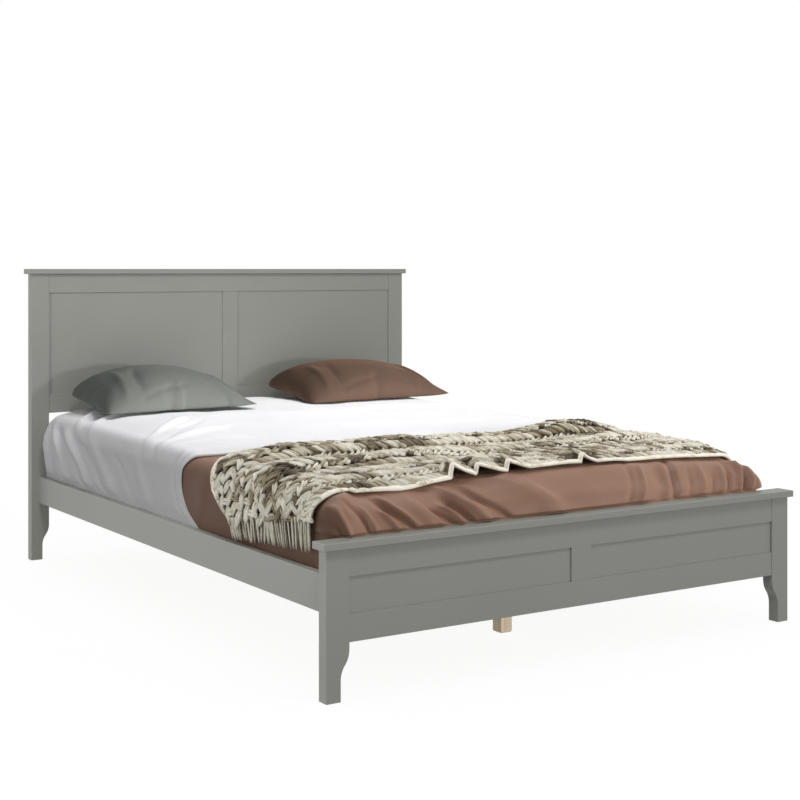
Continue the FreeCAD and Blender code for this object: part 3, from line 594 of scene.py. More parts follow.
@dataclass(frozen=True)
class Pine(Finish):
    """Planed pine with no finish, its grain along a board.

    Attributes:
        late: Colour of the late wood.
        run: The way that the grain runs.
    """
    late: Colour = (205, 165, 120)
    run: Run = Run.ACROSS

    def shade(self, work: Shading, surface: bpy.types.Node) -> None:
        """Add the nodes of the bands, fibres and shade from board to board."""
        place = work.add("TexCoord").outputs["Object"]
        grain = work.group(EFFECTS.grain, Vector=work.mapped(place, Rotation=self.run.value),
                           Bands=58.0, Waver=0.012)
        late = work.math("MULTIPLY", grain.outputs["Late"], 0.35)
        banded = work.mix(late, rgba(self.colour), rgba(self.late))
        fibres = work.ramp(grain.outputs["Fibre"], (0.3, (0.92, 0.9, 0.87)), (0.7, (1.0, 1.0, 1.0)))
        lined = work.mix(0.8, banded, fibres, "MULTIPLY")
        work.feed(surface, Base_Color=work.shaded(lined, self.clouds(work, place, 5.0, 0.07)))
        self.height(work, surface, grain.outputs["Fibre"], 0.00015)


@dataclass(frozen=True)
class Steel(Finish):
    """Bright zinc on steel, its spangle faintly uneven."""

    def shade(self, work: Shading, surface: bpy.types.Node) -> None:
        """Add the nodes of the zinc."""
        place = work.add("TexCoord").outputs["Object"]
        spangle = work.add("TexVoronoi", Vector=place, Scale=260.0)
        patch = work.ramp(spangle.outputs["Distance"], (0.0, (0.42, 0.43, 0.45)), (0.8, (0.66, 0.67, 0.69)))
        work.feed(surface, Base_Color=patch, Metallic=1.0)
        self.height(work, surface, work.noise(place, 900.0), 0.00004)


@dataclass(frozen=True)
class Cloth(Finish):
    """Woven cloth on a piece that keeps its flat places as its UV map.

    Attributes:
        pitch: Distance of the threads.
        depth: Depth of the weave.
        satin: Strength of the sheen.
        fuzz: Colour of the sheen.
        cloudy: Amount of slow change of shade.
        quilt: Size of the quilting's diamonds, or 0 for none.
        puff: How high the diamonds stand.
        by_place: Whether the weave reads Object coordinates, on a piece with no flat map.
    """
    pitch: float = 0.0011
    depth: float = 0.0002
    satin: float = 0.0
    fuzz: Colour = (255, 255, 255)
    cloudy: float = 0.04
    quilt: float = 0.0
    puff: float = 0.004
    by_place: bool = False

    def shade(self, work: Shading, surface: bpy.types.Node) -> None:
        """Add the nodes of the threads, the slow shade and the sheen."""
        source = work.add("TexCoord")
        place, chart = source.outputs["Object"], source.outputs["UV"]
        if self.by_place:
            chart = work.mapped(place, Rotation=(0.5, 0.4, 0.2))
        weave = work.group(EFFECTS.weave, Vector=chart, Pitch=self.pitch, Slub=0.5)
        slubs = work.math("MULTIPLY_ADD", weave.outputs["Slubs"], 0.12, 0.94)
        shade = work.math("MULTIPLY", self.clouds(work, place, 6.0, self.cloudy), slubs)
        work.feed(surface, Base_Color=work.shaded(rgba(self.colour), shade), Sheen_Weight=self.satin,
                  Sheen_Roughness=0.3, Sheen_Tint=rgba(self.fuzz), Specular_IOR_Level=0.1)
        height = work.math("MULTIPLY", weave.outputs["Height"], self.depth)
        if self.quilt:
            height = work.math("ADD", height, self.quilting(work, place))
        self.height(work, surface, height, 1.0)

    def quilting(self, work: Shading, place: Socket) -> Socket:
        """Height of the diamonds that are stitched into the cloth."""
        parts = work.add("SeparateXYZ", Vector=place)
        level = work.math("ADD", parts.outputs["X"], parts.outputs["Y"])
        ways = [work.math(way, level, parts.outputs["Z"]) for way in ("ADD", "SUBTRACT")]
        waves = [work.math("SINE", work.math("MULTIPLY", way, math.pi / self.quilt)) for way in ways]
        puff = work.math("POWER", work.math("ABSOLUTE", work.math("MULTIPLY", *waves)), 0.5)
        return work.math("MULTIPLY", puff, self.puff)


@dataclass(frozen=True)
class Roving(Finish):
    """Thick loosely spun wool, dyed in patches: each stitch has a Tone, and its fibres run along it. A low
    Tone on the ground and on the inner fringe is painted shade.

    Attributes:
        dark_dye_and_painted_shade: The darkest of the dyed wool, which also serves as painted shade on the
            ground and the inner fringe.
        middle: Its middle shade.
        pale: The palest.
    """
    dark_dye_and_painted_shade: Colour = (70, 56, 36)
    middle: Colour = (158, 143, 113)
    pale: Colour = (250, 245, 230)

    def shade(self, work: Shading, surface: bpy.types.Node) -> None:
        """Add the nodes of the dye and the fibres."""
        tone = work.add("Attribute", {"attribute_name": "Tone"}).outputs["Fac"]
        chart = work.add("TexCoord").outputs["UV"]
        fibre = work.noise(work.mapped(chart, Scale=(11.0, 0.9, 1.0)), 1.6)
        swing = work.math("MULTIPLY_ADD", fibre, 1.1, -0.55)
        dyed = work.ramp(work.math("ADD", tone, swing), (0.0, rgba(self.dark_dye_and_painted_shade)), (0.45, rgba(self.middle)),
                         (0.8, rgba(self.colour)), (1.0, rgba(self.pale)))
        work.feed(surface, Base_Color=dyed, Sheen_Weight=0.25, Sheen_Roughness=0.5, Specular_IOR_Level=0.2)
        self.height(work, surface, fibre, 0.003)


PAINT = Paint("Grey satin paint", (149, 150, 143), 0.45)
PINE = {run: Pine(f"Pine {run.name.lower()}", (246, 232, 206), 0.6, run=run) for run in Run}
STEEL = Steel("Zinc on steel", (150, 152, 155), 0.32)
TAPE = Cloth("Woven tape", (222, 216, 202), 0.85, pitch=0.0022, depth=0.0005, by_place=True)
TICKING = Cloth("Mattress ticking", (226, 224, 218), 0.8, quilt=0.045, by_place=True)
WHITE_COTTON = Cloth("White cotton", (242, 242, 244), 0.75, cloudy=0.012)
BROWN_SATEEN = Cloth("Brown sateen", (147, 114, 96), 0.42, satin=0.15, fuzz=(222, 184, 156), depth=0.00012)
GREY_CASE = Cloth("Grey pillowcase", (122, 125, 120), 0.7, satin=0.15, fuzz=(200, 205, 200))
BROWN_CASE = Cloth("Brown pillowcase", (97, 77, 65), 0.6, satin=0.3, fuzz=(228, 176, 140))
WOOL = Roving("Dyed wool roving", (234, 227, 206), 0.9)


# The frame
@dataclass(frozen=True)
class PaintedFrame:
    """Posts, rails, stiles, panels, caps and side rails, with a worn-in softness to their edges.

    Attributes:
        ease: Width of the rounding along the edges.
        panel_ease: The same on the panels.
        merge: Distance at which corners of the solid's triangles are one.
        flat_within: Turn, in degrees, below which triangles are one flat face.
        sharp_from: Turn from which an edge is rounded.
        smooth_below: Turn below which faces are shaded as one.
    """
    ease: float = 0.0011
    panel_ease: float = 0.0006
    merge: float = 1e-6
    flat_within: float = 0.4
    sharp_from: float = 32.0
    smooth_below: float = 60.0

    def nodes(self) -> list[str]:
        """The painted nodes."""
        return [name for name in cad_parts
                if name.startswith(("headboard", "footboard")) or name.endswith("side_rail")]

    def build(self) -> list[Piece]:
        """Every painted board, with rounded arrises under the paint."""
        return [self.board(name) for name in self.nodes()]

    def board(self, node: str) -> Piece:
        """One painted board in place of its node.

        Args:
            node: The node's name.

        Returns:
            The board.
        """
        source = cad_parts[node]
        board = in_scene(f"{node}_painted", source.data.copy())
        with editing(board):
            bpy.ops.mesh.remove_doubles(threshold=self.merge)
            bpy.ops.mesh.dissolve_limited(angle_limit=math.radians(self.flat_within))
        finished(board, "BEVEL", width=self.panel_ease if node.endswith("panel") else self.ease,
                 segments=2, limit_method="ANGLE", angle_limit=math.radians(self.sharp_from))
        rounded(board, self.smooth_below)
        finished(board, "WEIGHTED_NORMAL", keep_sharp=True)
        PAINT.dress(board)
        return settle(board, Body.FRAME, "painted_wood", node)


@dataclass(frozen=True)
class SlattedBase:
    """The pine slats, ledgers, beam and legs, the tapes and the steel, in their own finishes.

    Attributes:
        across: Boards whose grain runs across the bed.
        along: Boards whose grain runs along it.
        upright: Legs.
        dowels: Dowels.
        steel: Shoes, plates and screws.
        tapes: Tapes.
    """
    across: tuple[str, ...] = tuple(f"slat_{number:02d}" for number in range(1, 15))
    along: tuple[str, ...] = ("left_slat_ledger", "right_slat_ledger", "centre_beam")
    upright: tuple[str, ...] = ("foot_support_leg", "middle_support_leg", "head_support_leg")
    dowels: tuple[str, ...] = ("cap_dowels", "leg_dowels")
    steel: tuple[str, ...] = ("beam_shoes", "ledger_screws", "slat_screws", "shoe_screws",
                              "plate_screws", "rail_hook_plates", "post_catch_plates")
    tapes: tuple[str, ...] = ("left_slat_tape", "right_slat_tape")

    def build(self) -> list[Piece]:
        """Dress the nodes, whose shapes stay, and give them back."""
        finishes = ((PINE[Run.ACROSS], self.across), (PINE[Run.ALONG], self.along),
                    (PINE[Run.UPRIGHT], self.upright + self.dowels), (STEEL, self.steel), (TAPE, self.tapes))
        for finish, names in finishes:
            finish.dress_nodes(*names)
        return [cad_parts[name] for finish, names in finishes for name in names]


# The bedding
@dataclass(frozen=True)
class Mattress:
    """The mattress under the cloths: the form that they follow, and the piece itself.

    Attributes:
        edge: Radius of its upper edge along the sides.
        foot_edge: Radius of its upper edge at the foot.
        corner: Radius of its corners seen from above.
        lower_edge: Radius of its lower edge.
        square: How far the middle of a corner stands out from that round.
        worn: How far the middle of the upper edge at the foot is pressed down.
        sunk: How far the upper corners at the foot have sunk, left and right.
        piping: Radius of the piping.
        piping_in: How far the piping is set in at the foot, under the tucked cloth.
        channel: Depth of the channels quilted into its sides.
        low: Its lowest corner.
        high: Its highest corner.
    """
    edge: float = 0.035
    foot_edge: float = 0.100
    corner: float = 0.104
    lower_edge: float = 0.022
    square: float = 0.028
    worn: float = 0.024
    sunk: tuple[float, float] = (0.022, 0.056)
    piping: float = 0.0042
    piping_in: float = 0.0038
    channel: float = 0.0022
    low: Vector = field(default_factory=lambda: Vector(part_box("mattress")[0]))
    high: Vector = field(default_factory=lambda: Vector(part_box("mattress")[1]))

    def reach_to(self, height: float, stand: float) -> float:
        """How far across a flat cloth reaches down a side to a height."""
        bend = (self.edge + stand) * math.pi / 2
        return self.high.x - self.edge + bend + self.high.z - self.edge - height

    def reach_foot(self, height: float, stand: float) -> float:
        """The place along a flat cloth that hangs over the foot down to a height."""
        bend = (self.foot_edge + stand) * math.pi / 2
        return self.low.y + self.foot_edge - bend - (self.high.z - self.foot_edge - height)

    def sink(self, places: Array) -> Array:
        """Lower the places near the upper edge at the foot, and more at its two corners."""
        x, y, z = (places[..., axis] for axis in range(3))
        depth = np.where(x < 0, *self.sunk)
        near = smooth(np.abs(x), 0.05, 0.90) * smooth(y, -0.72, -1.06)
        above = smooth(z, 0.34, 0.52)
        edge = ridge(y - self.low.y, 0.034, 0.04) * smooth(z, 0.37, 0.43) * smooth(np.abs(x), 0.74, 0.50)
        return places - (depth * near * above + self.worn * edge)[..., None] * np.array([0.0, 0.0, 1.0])

    def drape(self, across: Array, along: Array, stand: float) -> tuple[Array, Array]:
        """Lay flat places over the top, the sides and the foot.

        Args:
            across: Places across the cloth, 0 at the middle of the bed.
            along: Places along the cloth, in step with the bed's own Y on the top.
            stand: Gap from the mattress.

        Returns:
            The places in space, and the outward normals there.
        """
        inset = self.high.x - self.corner
        past_side = np.maximum(np.abs(across) - inset, 0.0)
        past_foot = np.maximum(self.low.y + self.corner - along, 0.0)
        reach, lesser = np.maximum(past_side, past_foot), np.minimum(past_side, past_foot)
        turn = lesser / np.maximum(reach, 1e-9) * math.pi / 4
        turn = np.where(past_foot > past_side, math.pi / 2 - turn, turn)
        edge = self.edge + (self.foot_edge - self.edge) * np.sin(turn) ** 2
        flat, radius = self.corner - edge, edge + stand
        bend = np.clip((reach - flat) / radius, 0.0, math.pi / 2)
        out = np.minimum(reach, flat) + (radius + self.square * np.sin(2 * turn) ** 2) * np.sin(bend)
        hang = np.maximum(reach - flat - radius * math.pi / 2, 0.0)
        down = radius * (1 - np.cos(bend)) + hang
        side = np.where(across < 0, -1.0, 1.0)
        places = np.stack([side * (np.minimum(np.abs(across), inset) + np.cos(turn) * out),
                           np.maximum(along, self.low.y + self.corner) - np.sin(turn) * out,
                           self.high.z + stand - down], axis=-1)
        normals = np.stack([side * np.cos(turn) * np.sin(bend),
                            -np.sin(turn) * np.sin(bend), np.cos(bend)], axis=-1)
        return self.sink(places), normals

    def outline(self) -> tuple[Array, Array]:
        """The line round the mattress from above.

        Returns:
            The centre that each point of it is drawn from, and the outward direction there.
        """
        inset_x, inset_y = self.high.x - self.corner, self.high.y - self.corner
        centres, ways = [], []
        for number, (way_x, way_y) in enumerate(((1, 1), (-1, 1), (-1, -1), (1, -1))):
            for turn in np.linspace(0, math.pi / 2, 15) + number * math.pi / 2:
                centres.append((way_x * inset_x, way_y * inset_y))
                ways.append((math.cos(turn), math.sin(turn)))
        centres, ways = np.array(centres), np.array(ways)
        more_centres, more_ways = [], []
        for here in range(len(ways)):
            after = (here + 1) % len(ways)
            gap = float(np.hypot(*(centres[after] - centres[here])))
            for share in np.linspace(0, 1, max(2, round(gap / 0.03)))[:-1] if gap > 0.1 else (0.0,):
                more_centres.append(centres[here] * (1 - share) + centres[after] * share)
                more_ways.append(ways[here])
        return np.array(more_centres), np.array(more_ways)

    def rings(self, edge: Array) -> tuple[list[tuple], list[int]]:
        """Rings of the body, from the middle of its top down and round to that of its lower face.

        Args:
            edge: Radius of the upper edge at each place of the outline.

        Returns:
            The way out of each ring, its share of the corners' bulge and its height; and the
            numbers of the rings that carry the piping.
        """
        inner = self.corner - 0.002
        rings = [(-edge - (inner - edge) * share, 0.0, self.high.z) for share in (1.0, 0.5)]
        for bend in np.linspace(0, math.pi / 2, 7):
            rings.append((-edge * (1 - math.sin(bend)), math.sin(bend),
                          self.high.z - edge * (1 - math.cos(bend))))
        marks = [len(rings) - 1]
        top, bottom = self.high.z - edge, self.low.z + self.lower_edge
        for share in np.linspace(0, 1, 12)[1:-1]:
            rings.append((-self.channel * math.cos(share * 6 * math.pi) ** 2, 1.0,
                          top + (bottom - top) * share))
        marks.append(len(rings))
        for bend in np.linspace(0, math.pi / 2, 4):
            low = self.low.z + self.lower_edge * (1 - math.sin(bend))
            rings.append((-self.lower_edge * (1 - math.cos(bend)), 1.0, low))
        return [*rings, (-inner, 0.0, self.low.z)], marks

    def piped(self, line: Array, ways: Array) -> Piece:
        """Piping along a ring of the body.

        Args:
            line: The points of the ring.
            ways: The outward direction at each.

        Returns:
            The piping.
        """
        out, up = np.concatenate([ways, np.zeros((len(ways), 1))], 1), np.array([0.0, 0.0, 1.0])
        under = out * (-self.piping_in * np.clip(-ways[:, 1:], 0, 1) ** 2)
        tube = np.stack([line + under + self.piping * (out * math.cos(turn) + up * math.sin(turn))
                         for turn in circle(8)], axis=1)
        return mesh_piece("piping", tube, grid_faces(len(ways), 8, ring=True, closed=True))

    def build(self) -> Piece:
        """The mattress: rounded border with quilted channels, soft top, and piping round its edges."""
        centres, ways = self.outline()
        edge = self.edge + (self.foot_edge - self.edge) * np.clip(-ways[:, 1], 0, 1) ** 2
        bulge = 0.88 * self.square * (2 * ways[:, 0] * ways[:, 1]) ** 2
        rings, marks = self.rings(edge)
        grid = []
        for offset, squared, height in rings:
            reach = self.corner + np.broadcast_to(offset, edge.shape) + bulge * squared
            flat = centres + ways * reach[:, None]
            grid.append(np.concatenate([flat, np.broadcast_to(height, edge.shape)[:, None]], 1))
        grid = self.sink(np.stack(grid))
        body = mesh_piece("mattress_body", grid, ring_faces(1, *grid.shape[:2]))
        piping = [self.piped(grid[mark], ways) for mark in marks]
        piece = recalculated(joined("mattress_quilted", [body, *piping]))
        TICKING.dress(piece)
        settle(piece, Body.MATTRESS, "ticking", "mattress")
        return piece


@dataclass(frozen=True)
class Duvet:
    """The white duvet from its front edge to the head, tucked in at both sides.

    Attributes:
        mattress: What it lies on.
        stand: Height of its top over the mattress.
        loft: How much higher it swells towards the pillows.
        base: Gap over the mattress at which it is laid.
        under: Height of its lower face.
        thinnest: Least height of its upper face.
        side_stand: How far its side stands out.
        back: Its edge at the head.
        hem: Height of the tucked side hems.
        tucks_in: Heights between which its sides go in behind the side rails.
        hem_faces: Height of its upper and its lower face where it is tucked in.
        rim: How far its front edge bulges.
        between: Height, place across and half width of its swell between the pillows.
        roll: (height, distance inward, half width) of the roll along the front edge, and of the
            line that it is stitched down by.
        columns: Points across.
        rows: Points along.
        front_edge: (across, along) of its front edge, which hangs back on the left side and sweeps
            forward at the rail.
        hanging: Hanging folds near the head, on the left.
        pulls: Short pulls at the edge of the top, and slow swells over it.
    """
    mattress: Mattress
    stand: float = 0.031
    loft: float = 0.030
    base: float = 0.011
    under: float = 0.0078
    thinnest: float = 0.0065
    side_stand: float = 0.019
    back: float = 1.011
    hem: float = 0.2945
    tucks_in: tuple[float, float] = (0.350, 0.3085)
    hem_faces: tuple[float, float] = (0.0078, 0.0035)
    rim: float = 0.012
    between: tuple[float, float, float] = (0.012, 0.03, 0.16)
    roll: Rows = ((0.009, 0.014, 0.012), (-0.007, 0.040, 0.009))
    columns: int = 250
    rows: int = 130
    front_edge: Rows = (
        (-1.02, -0.315), (-0.975, -0.262), (-0.93, -0.185), (-0.89, -0.142), (-0.84, -0.117), (-0.79, -0.125),
        (-0.745, -0.158), (-0.60, -0.172), (0.0, -0.190), (0.745, -0.215), (0.85, -0.20), (1.02, -0.24))
    hanging: Rows = (
        (-0.765, 0.985, -1.00, 0.93, 0.017, 0.021, 0.01), (-0.765, 0.950, -1.00, 0.83, 0.012, -0.018, 0.02),
        (-0.765, 0.925, -1.00, 0.73, 0.018, 0.020, 0.03), (-0.765, 0.880, -1.00, 0.62, 0.012, -0.017, 0.03),
        (-0.770, 0.820, -1.00, 0.51, 0.022, 0.016, 0.03), (-0.780, 0.720, -1.00, 0.40, 0.011, -0.013, 0.03),
        (-0.780, 0.580, -1.00, 0.30, 0.030, 0.011, 0.02), (-0.800, 0.380, -1.00, 0.17, 0.011, -0.008, 0.02),
        (-0.790, 0.200, -1.00, 0.03, 0.036, 0.008, 0.0))
    pulls: Rows = (
        (-0.77, 0.71, -0.58, 0.86, 0.015, 0.013), (-0.77, 0.67, -0.57, 0.79, 0.012, -0.009),
        (-0.78, 0.60, -0.55, 0.74, 0.015, 0.010), (-0.77, 0.14, -0.46, 0.47, 0.014, 0.013),
        (-0.76, 0.09, -0.45, 0.38, 0.012, -0.010), (-0.78, 0.04, -0.40, 0.27, 0.016, 0.011),
        (-0.78, 0.01, -0.35, 0.03, 0.020, 0.006, 0.02), (-0.55, 0.46, 0.30, 0.30, 0.045, 0.008, 0.05),
        (-0.25, 0.22, 0.68, 0.05, 0.040, 0.009, -0.04), (0.05, 0.42, 0.76, 0.36, 0.035, 0.008, 0.03),
        (-0.62, -0.02, -0.05, -0.06, 0.030, 0.005, 0.0), (0.20, -0.06, 0.78, -0.10, 0.028, 0.006, 0.02))

    def front(self, across: Array) -> Array:
        """Where the front edge lies, its corners blurred."""
        places, edges = zip(*self.front_edge)
        return sum(np.interp(across + shift, places, edges) for shift in (-0.02, -0.01, 0, 0.01, 0.02)) / 5

    def folds(self) -> list[Fold]:
        """Hanging folds on the left, the same a little further forward on the right, and the pulls."""
        mirrored = tuple((-left, high - 0.04, -out, low - 0.02, width, height, -bow)
                         for left, high, out, low, width, height, bow in self.hanging)
        return folds_of(self.hanging + mirrored, open_end=True) + folds_of(self.pulls)

    def relief(self, across: Array, along: Array, inward: Array) -> Array:
        """Height of the folds, the filling and the roll along the front edge.

        Args:
            across: Places across the bed.
            along: Places along the bed.
            inward: Their distance from the front edge.

        Returns:
            The height over the even duvet.
        """
        relief = folded(across, along, self.folds())
        relief += 0.0045 * drift(across * 5, along * 4 + 2, 31) + 0.0022 * drift(across * 13, along * 11, 32)
        relief += self.loft * smooth(along, -0.15, 0.50) * smooth(np.abs(across), 0.80, 0.60)
        relief += self.between[0] * ridge(across, *self.between[1:]) * smooth(along, 0.55, 0.80)
        return relief + sum(height * ridge(inward, middle, half) for height, middle, half in self.roll)

    def build(self) -> Piece:
        """The duvet as one closed padded body."""
        half = self.mattress.reach_to(self.hem, self.base)
        across = np.linspace(-half, half, self.columns)[:, None]
        share = np.linspace(0.0, 1.0, self.rows)[None, :] ** 1.08
        front = self.front(across)
        across, along = np.broadcast_arrays(across, front + (self.back - front) * share)
        base, normals = self.mattress.drape(across, along, self.base)
        side, inward = smooth(np.abs(normals[..., 0]), 0.3, 0.95), along - front
        ends = smooth(inward, 0.0, 0.05) * smooth(self.back - along, 0.0, 0.05)
        loft = (self.stand * (1 - side) + self.side_stand * side) * (0.62 + 0.38 * ends)
        tucked = side * smooth(base[..., 2], *self.tucks_in)
        relief = self.relief(across, along, inward) * (0.35 + 0.65 * ends)
        out = np.maximum(loft + relief, self.thinnest)
        out = out * (1 - tucked) + self.hem_faces[0] * tucked
        under = np.minimum(self.under, out - 0.003) * (1 - tucked) + self.hem_faces[1] * tucked
        outer, inner = (base + normals * (gap - self.base)[..., None] for gap in (out, under))
        piece = self.closed(outer, inner, np.stack([across, along], -1))
        WHITE_COTTON.dress(piece)
        settle(piece, Body.MATTRESS, "white_cotton", "white_duvet")
        return piece

    def closed(self, outer: Array, inner: Array, flat: Array) -> Piece:
        """Close the duvet round its front, its back and its side hems.

        Args:
            outer: Grid of the upper face.
            inner: Grid of the lower face.
            flat: The grid on the flat cloth.

        Returns:
            The piece.
        """
        rim_turns = np.linspace(math.pi / 2, -math.pi / 2, 7)[1:-1]

        def rim(row: int, way: float) -> list[Array]:
            """Rows of points round the front edge, way -1, or the back edge, way 1."""
            middle, half = (outer[:, row] + inner[:, row]) / 2, (outer[:, row] - inner[:, row]) / 2
            reach = np.array([0.0, way * self.rim, 0.0])
            return [middle + half * math.sin(turn) + reach * math.cos(turn) for turn in rim_turns]

        count = outer.shape[1]
        loop = ([outer[:, row] for row in range(count)] + rim(-1, 1.0)
                + [inner[:, row] for row in reversed(range(count))] + list(reversed(rim(0, -1.0))))
        points = np.stack(loop, axis=1)
        around = points.shape[1]
        middle = count + len(rim_turns)
        under = middle + count - 1
        chart = np.zeros((*points.shape[:2], 2))
        chart[:, :count] = flat
        chart[:, count:] = flat[:, -1:, :]
        chart[:, middle:middle + count] = flat[:, ::-1]
        chart[:, middle + count:] = flat[:, :1, :]
        walls = grid_faces(points.shape[0], around, ring=True)
        last = (points.shape[0] - 1) * around
        ends = [[start + row, start + row + 1, start + under - 1 - row, start + under - row]
                for start in (0, last) for row in range(count - 1)]
        ends += [[start + corner for corner in corners] for start in (0, last)
                 for corners in (range(count - 1, middle + 1), (*range(under, around), 0))]
        piece = mesh_piece("duvet_cotton", points, [*walls, *ends], chart)
        return recalculated(piece)


@dataclass(frozen=True)
class Bedspread:
    """The brown bedspread: it starts under the duvet's edge and is tucked in at both sides and the foot.

    Attributes:
        mattress: What it lies on.
        duvet: What covers its rear edge.
        back: Where it ends, under the duvet.
        side_hem: Height of the tucked side hems.
        foot_hem: Height of the tucked foot hem.
        tuck: Height where it goes in behind the footboard's cap.
        tuck_band: Height over which it goes in there.
        side_tuck: Height where it starts to go in behind the side rails, where its folds have ended
            there, and where it lies flat.
        drawn_in: How far it is drawn in where it is tucked, at the foot and at the sides.
        stand: Gap between it and the mattress.
        bulge: How far it stands out over the edge at the foot.
        deepest: How far a fold can stand in on the top, and how much further at the foot.
        highest: How far a fold can stand out on the top, and how much further at the foot.
        thick: Thickness.
        columns: Points across.
        rows: Points along, closest together where it is tucked in.
        bow: How far the folds at the foot bow.
        slanting: Slanting pulls on the left of the foot, and a smooth swell in the middle.
        upright: Upright pleats on the right of the foot.
        loose: Short folds with two ends, at the foot and on the top.
        corner: Folds of the left corner and of the left side, which run on into the tuck.
    """
    mattress: Mattress
    duvet: Duvet
    back: float = -0.06
    side_hem: float = 0.294
    foot_hem: float = 0.352
    tuck: float = 0.399
    tuck_band: float = 0.008
    side_tuck: tuple[float, float, float] = (0.345, 0.312, 0.310)
    drawn_in: tuple[float, float] = (0.0042, 0.0015)
    stand: float = 0.0075
    bulge: float = 0.010
    deepest: tuple[float, float] = (-0.003, -0.011)
    highest: tuple[float, float] = (0.007, 0.007)
    thick: float = 0.0022
    columns: int = 280
    rows: int = 175
    bow: float = 0.006
    slanting: Rows = (
        (-0.745, -0.990, -0.680, -1.090, 0.010, -0.009), (-0.705, -0.990, -0.635, -1.100, 0.010, 0.006),
        (-0.640, -0.960, -0.500, -1.100, 0.012, -0.016), (-0.635, -1.000, -0.565, -1.090, 0.009, 0.010),
        (-0.530, -0.950, -0.460, -1.090, 0.025, 0.009), (-0.480, -0.990, -0.385, -1.095, 0.009, -0.014),
        (-0.500, -0.970, -0.430, -1.090, 0.009, 0.008), (-0.440, -0.980, -0.360, -1.090, 0.010, 0.012),
        (-0.415, -0.965, -0.325, -1.095, 0.010, -0.019), (-0.415, -0.920, -0.260, -1.095, 0.016, 0.015),
        (-0.345, -0.930, -0.200, -1.095, 0.012, -0.015), (-0.200, -0.920, -0.030, -1.090, 0.045, 0.013))
    upright: Rows = (
        (0.300, -0.900, 0.190, -1.090, 0.010, -0.006), (0.335, -0.920, 0.235, -1.090, 0.010, 0.010),
        (0.405, -0.920, 0.315, -1.090, 0.030, -0.013), (0.475, -0.885, 0.368, -1.095, 0.013, -0.018),
        (0.520, -0.940, 0.420, -1.090, 0.009, -0.007), (0.575, -0.930, 0.470, -1.090, 0.014, 0.012),
        (0.610, -0.955, 0.510, -1.085, 0.008, -0.008), (0.655, -0.940, 0.555, -1.085, 0.010, 0.011),
        (0.665, -0.960, 0.590, -1.075, 0.008, -0.009), (0.730, -0.945, 0.630, -1.080, 0.009, 0.011),
        (0.735, -0.955, 0.680, -1.080, 0.008, -0.014), (0.745, -0.970, 0.715, -1.080, 0.008, 0.011),
        (0.755, -0.980, 0.755, -1.080, 0.008, -0.013))
    loose: Rows = (
        (-0.62, -0.94, -0.51, -1.07, 0.012, 0.009), (-0.56, -0.885, -0.38, -0.95, 0.010, -0.004),
        (-0.36, -0.885, -0.25, -0.945, 0.009, -0.005), (-0.28, -0.905, -0.13, -0.965, 0.010, 0.005),
        (-0.74, -0.60, -0.98, -0.52, 0.03, 0.003))
    corner: Rows = (
        (-0.772, -0.965, -0.770, -1.09, 0.010, 0.011), (-0.800, -0.965, -0.805, -1.09, 0.012, -0.012),
        (-0.76, -0.30, -0.99, -0.22, 0.035, 0.003))

    def relief(self, across: Array, along: Array) -> Array:
        """Height of the folds and the uneven cloth, which lies flat under the duvet."""
        relief = folded(across, along, folds_of(self.slanting + self.upright, bow=self.bow, open_end=True)
                        + folds_of(self.loose) + folds_of(self.corner, open_end=True))
        relief += 0.0022 * drift(across * 9 + 3, along * 5, 21) + 0.0012 * drift(across * 23, along * 17, 22)
        relief += 0.003 * self.corner_pleats(across, along)
        return relief * smooth(along - self.duvet.front(across), 0.02, -0.03)

    def build(self) -> Piece:
        """The bedspread, with its folds."""
        form = self.mattress
        half = form.reach_to(self.side_hem, self.stand)
        foot = form.reach_foot(self.foot_hem, self.stand)
        across = np.linspace(-half, half, self.columns)[:, None]
        along = np.interp(np.linspace(0, 1, self.rows), (0, 0.10, 0.30, 0.54, 1),
                          (foot, -1.10, -1.06, -0.90, self.back))[None, :]
        across, along = np.broadcast_arrays(across, along)
        places, normals = form.drape(across, along, self.stand)
        past = smooth(along + 0.03 * smooth(across, 0.3, -0.1), -0.89, -0.95)
        lowest, highest = (top + more * past for top, more in (self.deepest, self.highest))
        relief = np.clip(self.relief(across, along), lowest, highest)
        at_foot = smooth(-normals[..., 1], 0.2, 0.9)
        height = places[..., 2]
        over = smooth(height, self.tuck, self.tuck + self.tuck_band)
        in_foot = at_foot * (1 - over)
        faded, in_side = ((1 - at_foot) * smooth(height, self.side_tuck[0], low)
                          for low in self.side_tuck[1:])
        out = relief * (1 - in_foot - faded) - self.drawn_in[0] * in_foot - self.drawn_in[1] * in_side
        places = places + normals * (out + self.bulge * past * over)[..., None]
        piece = sheet_piece("bedspread_sateen", places, np.stack([across, along], -1), self.thick)
        BROWN_SATEEN.dress(piece)
        settle(piece, Body.MATTRESS, "brown_cotton", "brown_bedspread")
        return piece

    def corner_pleats(self, across: Array, along: Array) -> Array:
        """Upright pleats where the spare cloth of a corner hangs, from -1 to 1."""
        form = self.mattress
        past_side = np.maximum(np.abs(across) - form.high.x + form.corner, 0.0)
        past_foot = np.maximum(form.low.y + form.corner - along, 0.0)
        angle = np.arctan2(past_foot, np.maximum(past_side, 1e-9))
        inside = smooth(past_side, 0.01, 0.05) * smooth(past_foot, 0.01, 0.05)
        return inside * np.cos(angle * 8)


